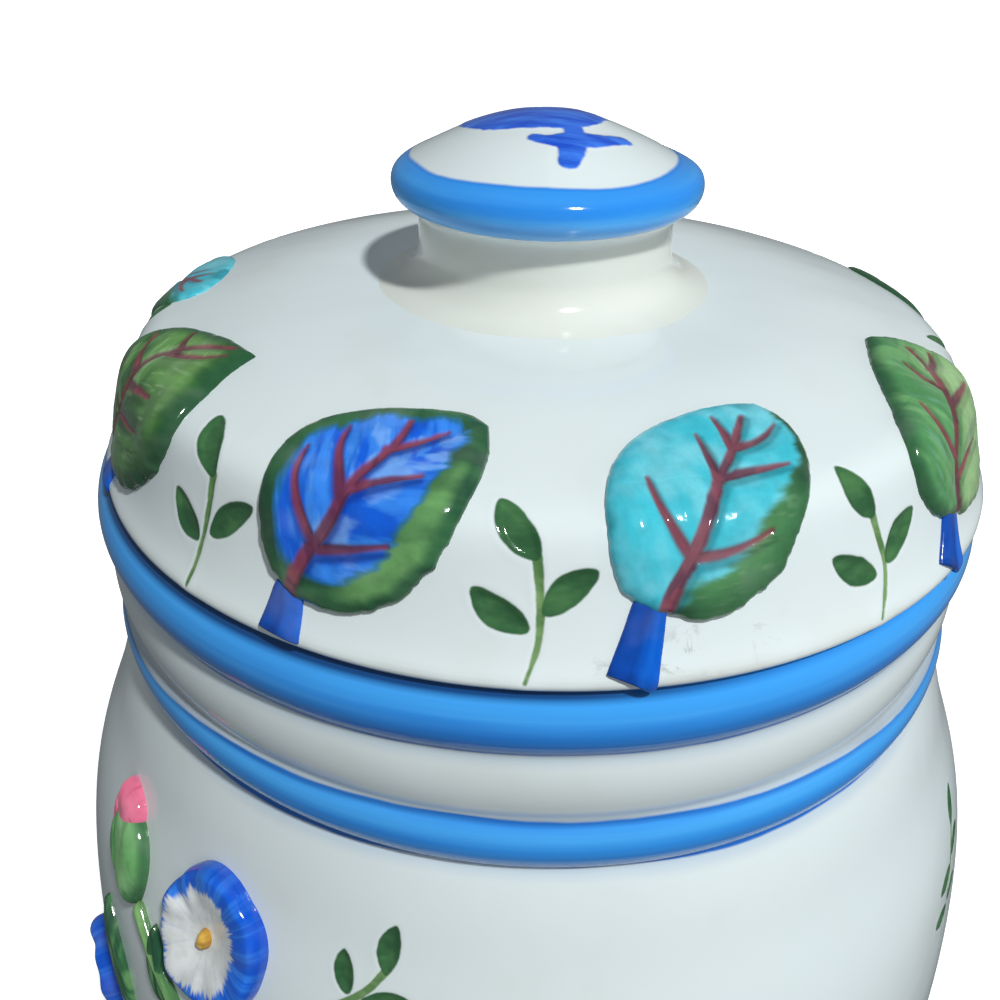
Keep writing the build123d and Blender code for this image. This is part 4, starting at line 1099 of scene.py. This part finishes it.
def bouquet(side, turn_by, seed):
    names = lambda n: f"{side}_{n}"
    eyes = Soup()
    for label, th, z, rad, k in (("upper", -33.2, 114.2, 10.8, 0.4), ("lower", -62.0, 66.4, 10.4, 2.0)):
        soup = Soup()
        flower(soup, eyes, th + turn_by, z, rad, seed + int(10 * k), k)
        ob = make(f"raised_flower_{label}_{side}", np.concatenate(soup.v), soup.f, colours=np.concatenate(soup.c))
        settle(ob, "jar", "blue_petal_glaze", names("flower_" + label))
    ob = make(f"raised_eyes_{side}", np.concatenate(eyes.v), eyes.f, colours=np.concatenate(eyes.c))
    settle(ob, "jar", "yellow_eye_glaze", names("flower_eyes"))

    petals, cups = Soup(), Soup()
    for th0, base, tip, w in ((-50.0, (-46.4, 107.8), (-53.6, 123.4), 9.2), (-13.0, (-17.0, 82.0), (-9.0, 95.5), 8.4)):
        b, t = np.array(spot(th0, *base)), np.array(spot(th0, *tip))
        ax = (t - b) / np.hypot(*(t - b))
        px = np.array([-ax[1], ax[0]])
        along = lambda u: b + (t - b) * u

        def bud_c(x, s, de):
            q = np.stack([x, s], 1) - b
            a, c = q @ ax, q @ px
            n = fbm(a * 0.16, c * 1.5, 0.0, seed + 31, 3)
            base_c = mixc(P_PINK, P_DARK, sm(-0.1, 0.7, n + 0.10 * c) * 0.9)
            return mixc(base_c, P_PALE, 0.8 * np.exp(-(((c - 0.5 + 0.4 * n) / 0.55) ** 2)) * sm(4.0, 8.0, a))

        def bud_h(x, s, de):
            q = np.stack([x, s], 1) - b
            c = q @ px
            k = np.clip(de / 2.6, 0, 1)
            return 2.9 * np.sqrt(1 - (1 - k) ** 2) - 0.55 * np.exp(-(((c - 0.9) / 0.5) ** 2)) * sm(0.4, 1.5, de)

        def cup_c(x, s, de):
            q = np.stack([x, s], 1) - b
            a, c = q @ ax, q @ px
            n = fbm(a * 0.2, c * 1.1, 0.0, seed + 41, 3)
            g = mixc(col(110, 172, 104), col(72, 130, 76), sm(-0.1, 0.8, n + 0.35 * sm(0.5, 3.0, c) + 0.5 * sm(5.0, 1.0, a)))
            g = mixc(g, G_DARK, 0.7 * sm(0.9, 0.1, de))
            return mixc(g, col(150, 198, 134), 0.45 * np.exp(-(((c + 1.0) / 1.1) ** 2)) * sm(2.0, 5.0, a))

        def cup_h(x, s, de):
            q = np.stack([x, s], 1) - b
            c = q @ px
            k = np.clip(de / 3.0, 0, 1)
            return 3.2 * np.sqrt(1 - (1 - k) ** 2) - 0.5 * np.exp(-(((c - 1.4) / 0.45) ** 2)) * sm(0.4, 1.6, de)

        pad_relief(cups, jar_wall, th0 + turn_by, leaf_line(b, along(0.84), w, 40, peak=(0.60, 0.52), blunt=(0.60, 0.66)), cup_h, cup_c, 150, 34)
        pad_relief(petals, jar_wall, th0 + turn_by, leaf_line(along(0.54), t, w * 0.82, 40, peak=(0.40, 0.42), blunt=(0.66, 0.72)), bud_h, bud_c, 150, 34)
    ob = make(f"raised_bud_petals_{side}", np.concatenate(petals.v), petals.f, colours=np.concatenate(petals.c))
    settle(ob, "jar", "pink_petal_glaze", names("bud_petals"))
    ob = make(f"raised_bud_cups_{side}", np.concatenate(cups.v), cups.f, colours=np.concatenate(cups.c))
    settle(ob, "jar", "green_leaf_glaze", names("bud_calyxes"))

    th0 = -35.0
    stems = Soup()
    for i, path in enumerate((
        ((-31.0, 56.0), (-31.6, 68.0), (-32.4, 84.0), (-33.2, 104.6)),
        ((-31.4, 56.0), (-32.6, 72.0), (-34.6, 88.0), (-37.6, 98.6), (-41.8, 103.6), (-46.3, 108.6)),
        ((-31.8, 56.0), (-34.8, 60.8), (-42.0, 64.0), (-49.0, 65.4), (-56.0, 66.0)),
        ((-30.6, 56.0), (-28.6, 66.0), (-23.6, 75.0), (-16.8, 83.0)),
    )):
        def stem_c(x, s, t, v, i=i):
            n = fbm(t * 7.0, v * 1.6, 0.0, seed + 51 + i, 3)
            c = mixc(col(84, 138, 84), col(140, 186, 116), sm(-0.4, 0.6, n + 0.3 * np.cos(v * 1.5)))
            return mixc(c, G_DARK, 0.5 * sm(0.6, 0.98, np.abs(v)))

        rib_relief(stems, jar_wall, th0 + turn_by, [spot(th0, *p) for p in path], 1.6, 1.05, lambda a, v, i=i: (1.25, 1.55, 1.35, 1.4)[i] + 0.0 * a, stem_c, n=90, m=14, flat=2.0)
    ob = make(f"raised_stems_{side}", np.concatenate(stems.v), stems.f, colours=np.concatenate(stems.c))
    settle(ob, "jar", "green_stem_glaze", names("bouquet_stems"))

    blades = Soup()
    for i, (bth, base, tip, w) in enumerate((
        (-43.0, (-39.6, 96.6), (-42.4, 108.4), 4.6),
        (-52.0, (-47.6, 83.0), (-55.2, 98.6), 5.8),
        (-22.0, (-29.4, 63.6), (-14.6, 68.6), 7.6),
        (-40.0, (-33.8, 58.2), (-48.6, 55.2), 7.2),
    )):
        b, t = np.array(spot(bth, *base)), np.array(spot(bth, *tip))
        ax = (t - b) / np.hypot(*(t - b))
        px = np.array([-ax[1], ax[0]])

        def blade_h(x, s, de, b=b, px=px, w=w):
            c = (np.stack([x, s], 1) - b) @ px
            k = np.clip(de / (0.30 * w), 0, 1)
            return 1.5 * np.sqrt(1 - (1 - k) ** 2) - 0.4 * np.exp(-((c / 0.4) ** 2)) * sm(0.3, 1.0, de)

        def blade_c(x, s, de, b=b, ax=ax, px=px, i=i):
            q = np.stack([x, s], 1) - b
            n = fbm((q @ ax) * 0.2, (q @ px) * 1.3, 0.0, seed + 61 + i, 3)
            g = mixc(G_DARK, G_MID, sm(-0.5, 0.5, n))
            g = mixc(g, col(118, 166, 104), 0.6 * sm(0.1, 0.8, n + 0.3 * sm(0.0, 2.0, q @ px)))
            return mixc(g, col(34, 70, 44), 0.7 * np.exp(-(((q @ px) / 0.4) ** 2)))

        pad_relief(blades, jar_wall, bth + turn_by, leaf_line(b, t, w, 36, peak=(0.44, 0.44), blunt=(0.72, 0.72), bow=0.3), blade_h, blade_c, 130, 26)
    ob = make(f"raised_blades_{side}", np.concatenate(blades.v), blades.f, colours=np.concatenate(blades.c))
    settle(ob, "jar", "green_leaf_glaze", names("bouquet_leaves"))


bouquet("front", 0.0, 300)
bouquet("back", 180.0, 400)

# ---------------------------------------------------------------- floor, light, camera
me = bpy.data.meshes.new("floor")
e = 12.0
me.from_pydata([(-e, -e, 0), (e, -e, 0), (e, e, 0), (-e, e, 0)], [], [(0, 1, 2, 3)])
floor = bpy.data.objects.new("floor", me)
bpy.context.scene.collection.objects.link(floor)
N = Nodes("pale_floor")
tint = N.mix(N.noise(1.5, 3.0, 0.5), (0.93, 0.93, 0.93), (0.90, 0.90, 0.905))
N.link(tint, N.b.inputs["Base Color"])
N.link(tint, N.b.inputs["Emission Color"])
away = N.new("ShaderNodeVectorMath", operation="LENGTH")
N.link(N.obj, away.inputs[0])
N.link(N.ramp(away.outputs["Value"], 0.2, 1.4, 0.64, 1.10), N.b.inputs["Emission Strength"])
N.b.inputs["Roughness"].default_value = 0.9
me.materials.append(N.m)
floor.visible_diffuse = False
floor.visible_glossy = False

# a plain pale wall far off, all round, so every side has the same ground behind it
me = bpy.data.meshes.new("backdrop")
ring = [(11.9 * math.cos(a), 11.9 * math.sin(a)) for a in np.linspace(0, 2 * math.pi, 96, endpoint=False)]
me.from_pydata([(x, y, z) for z in (0.0, 14.0) for x, y in ring], [], [(i, (i + 1) % 96, 96 + (i + 1) % 96, 96 + i) for i in range(96)])
backdrop = bpy.data.objects.new("backdrop", me)
bpy.context.scene.collection.objects.link(backdrop)
N = Nodes("pale_backdrop")
tint = N.mix(N.noise(0.4, 2.0, 0.5), (0.95, 0.95, 0.95), (0.93, 0.935, 0.94))
N.link(tint, N.b.inputs["Base Color"])
N.link(tint, N.b.inputs["Emission Color"])
N.b.inputs["Emission Strength"].default_value = 1.05
N.b.inputs["Roughness"].default_value = 0.9
me.materials.append(N.m)
for seen in ("visible_diffuse", "visible_glossy", "visible_shadow"):
    setattr(backdrop, seen, False)

world = bpy.data.worlds.new("studio")
bpy.context.scene.world = world
world.use_nodes = True
bg = world.node_tree.nodes["Background"]
bg.inputs["Color"].default_value = (0.86, 0.95, 1.0, 1.0)
bg.inputs["Strength"].default_value = 0.155


def lamp(name, where, target, size, energy, colour):
    ld = bpy.data.lights.new(name, "AREA")
    ld.shape = "DISK"
    ld.size = size
    ld.energy = energy
    ld.color = colour
    ob = bpy.data.objects.new(name, ld)
    ob.location = where
    ob.rotation_euler = (Vector(target) - Vector(where)).to_track_quat("-Z", "Y").to_euler()
    bpy.context.scene.collection.objects.link(ob)
    return ob


mid = Vector((0.0, 0.0, 0.15))
lamp("key", mid + 1.5 * Vector((0.31, -0.485, 0.82)).normalized(), mid, 0.12, 18.8, (0.97, 1.0, 0.99))
lamp("fill", mid + 1.0 * Vector((-0.06, -0.98, 0.12)).normalized(), mid, 0.7, 1.1, (0.96, 0.99, 1.0)).visible_glossy = False
lamp("side", mid + 1.0 * Vector((0.95, -0.24, 0.16)).normalized(), mid, 0.6, 1.5, (0.95, 0.99, 1.0)).visible_glossy = False
lamp("back", mid + 1.0 * Vector((0.22, 0.97, 0.02)).normalized(), mid, 0.7, 3.4, (0.98, 0.99, 1.0)).visible_glossy = False
lamp("left", mid + 1.0 * Vector((-0.63, 0.78, 0.02)).normalized(), mid, 0.6, 3.2, (0.98, 0.99, 1.0)).visible_glossy = False

cam = bpy.data.cameras.new("camera")
cam.sensor_width = 36.0
cam.lens = 36.0
cam.clip_start = 0.005
cam.clip_end = 60.0
cam_ob = bpy.data.objects.new("camera", cam)
bpy.context.scene.collection.objects.link(cam_ob)
pan, pitch, roll = -0.03977658, 0.55386080, 0.01839289
cp, sp = math.cos(pitch), math.sin(pitch)
fwd = Vector((math.sin(pan) * cp, math.cos(pan) * cp, -sp))
right = Vector((math.cos(pan), -math.sin(pan), 0.0))
up = right.cross(fwd)
cr, sr = math.cos(roll), math.sin(roll)
r2, u2 = cr * right + sr * up, cr * up - sr * right
rot = Matrix((r2, u2, -fwd)).transposed().to_4x4()
cam_ob.matrix_world = Matrix.Translation((0.0, -0.150616, 0.242017)) @ rot
bpy.context.scene.camera = cam_ob
bpy.context.scene.view_settings.view_transform = "Standard"
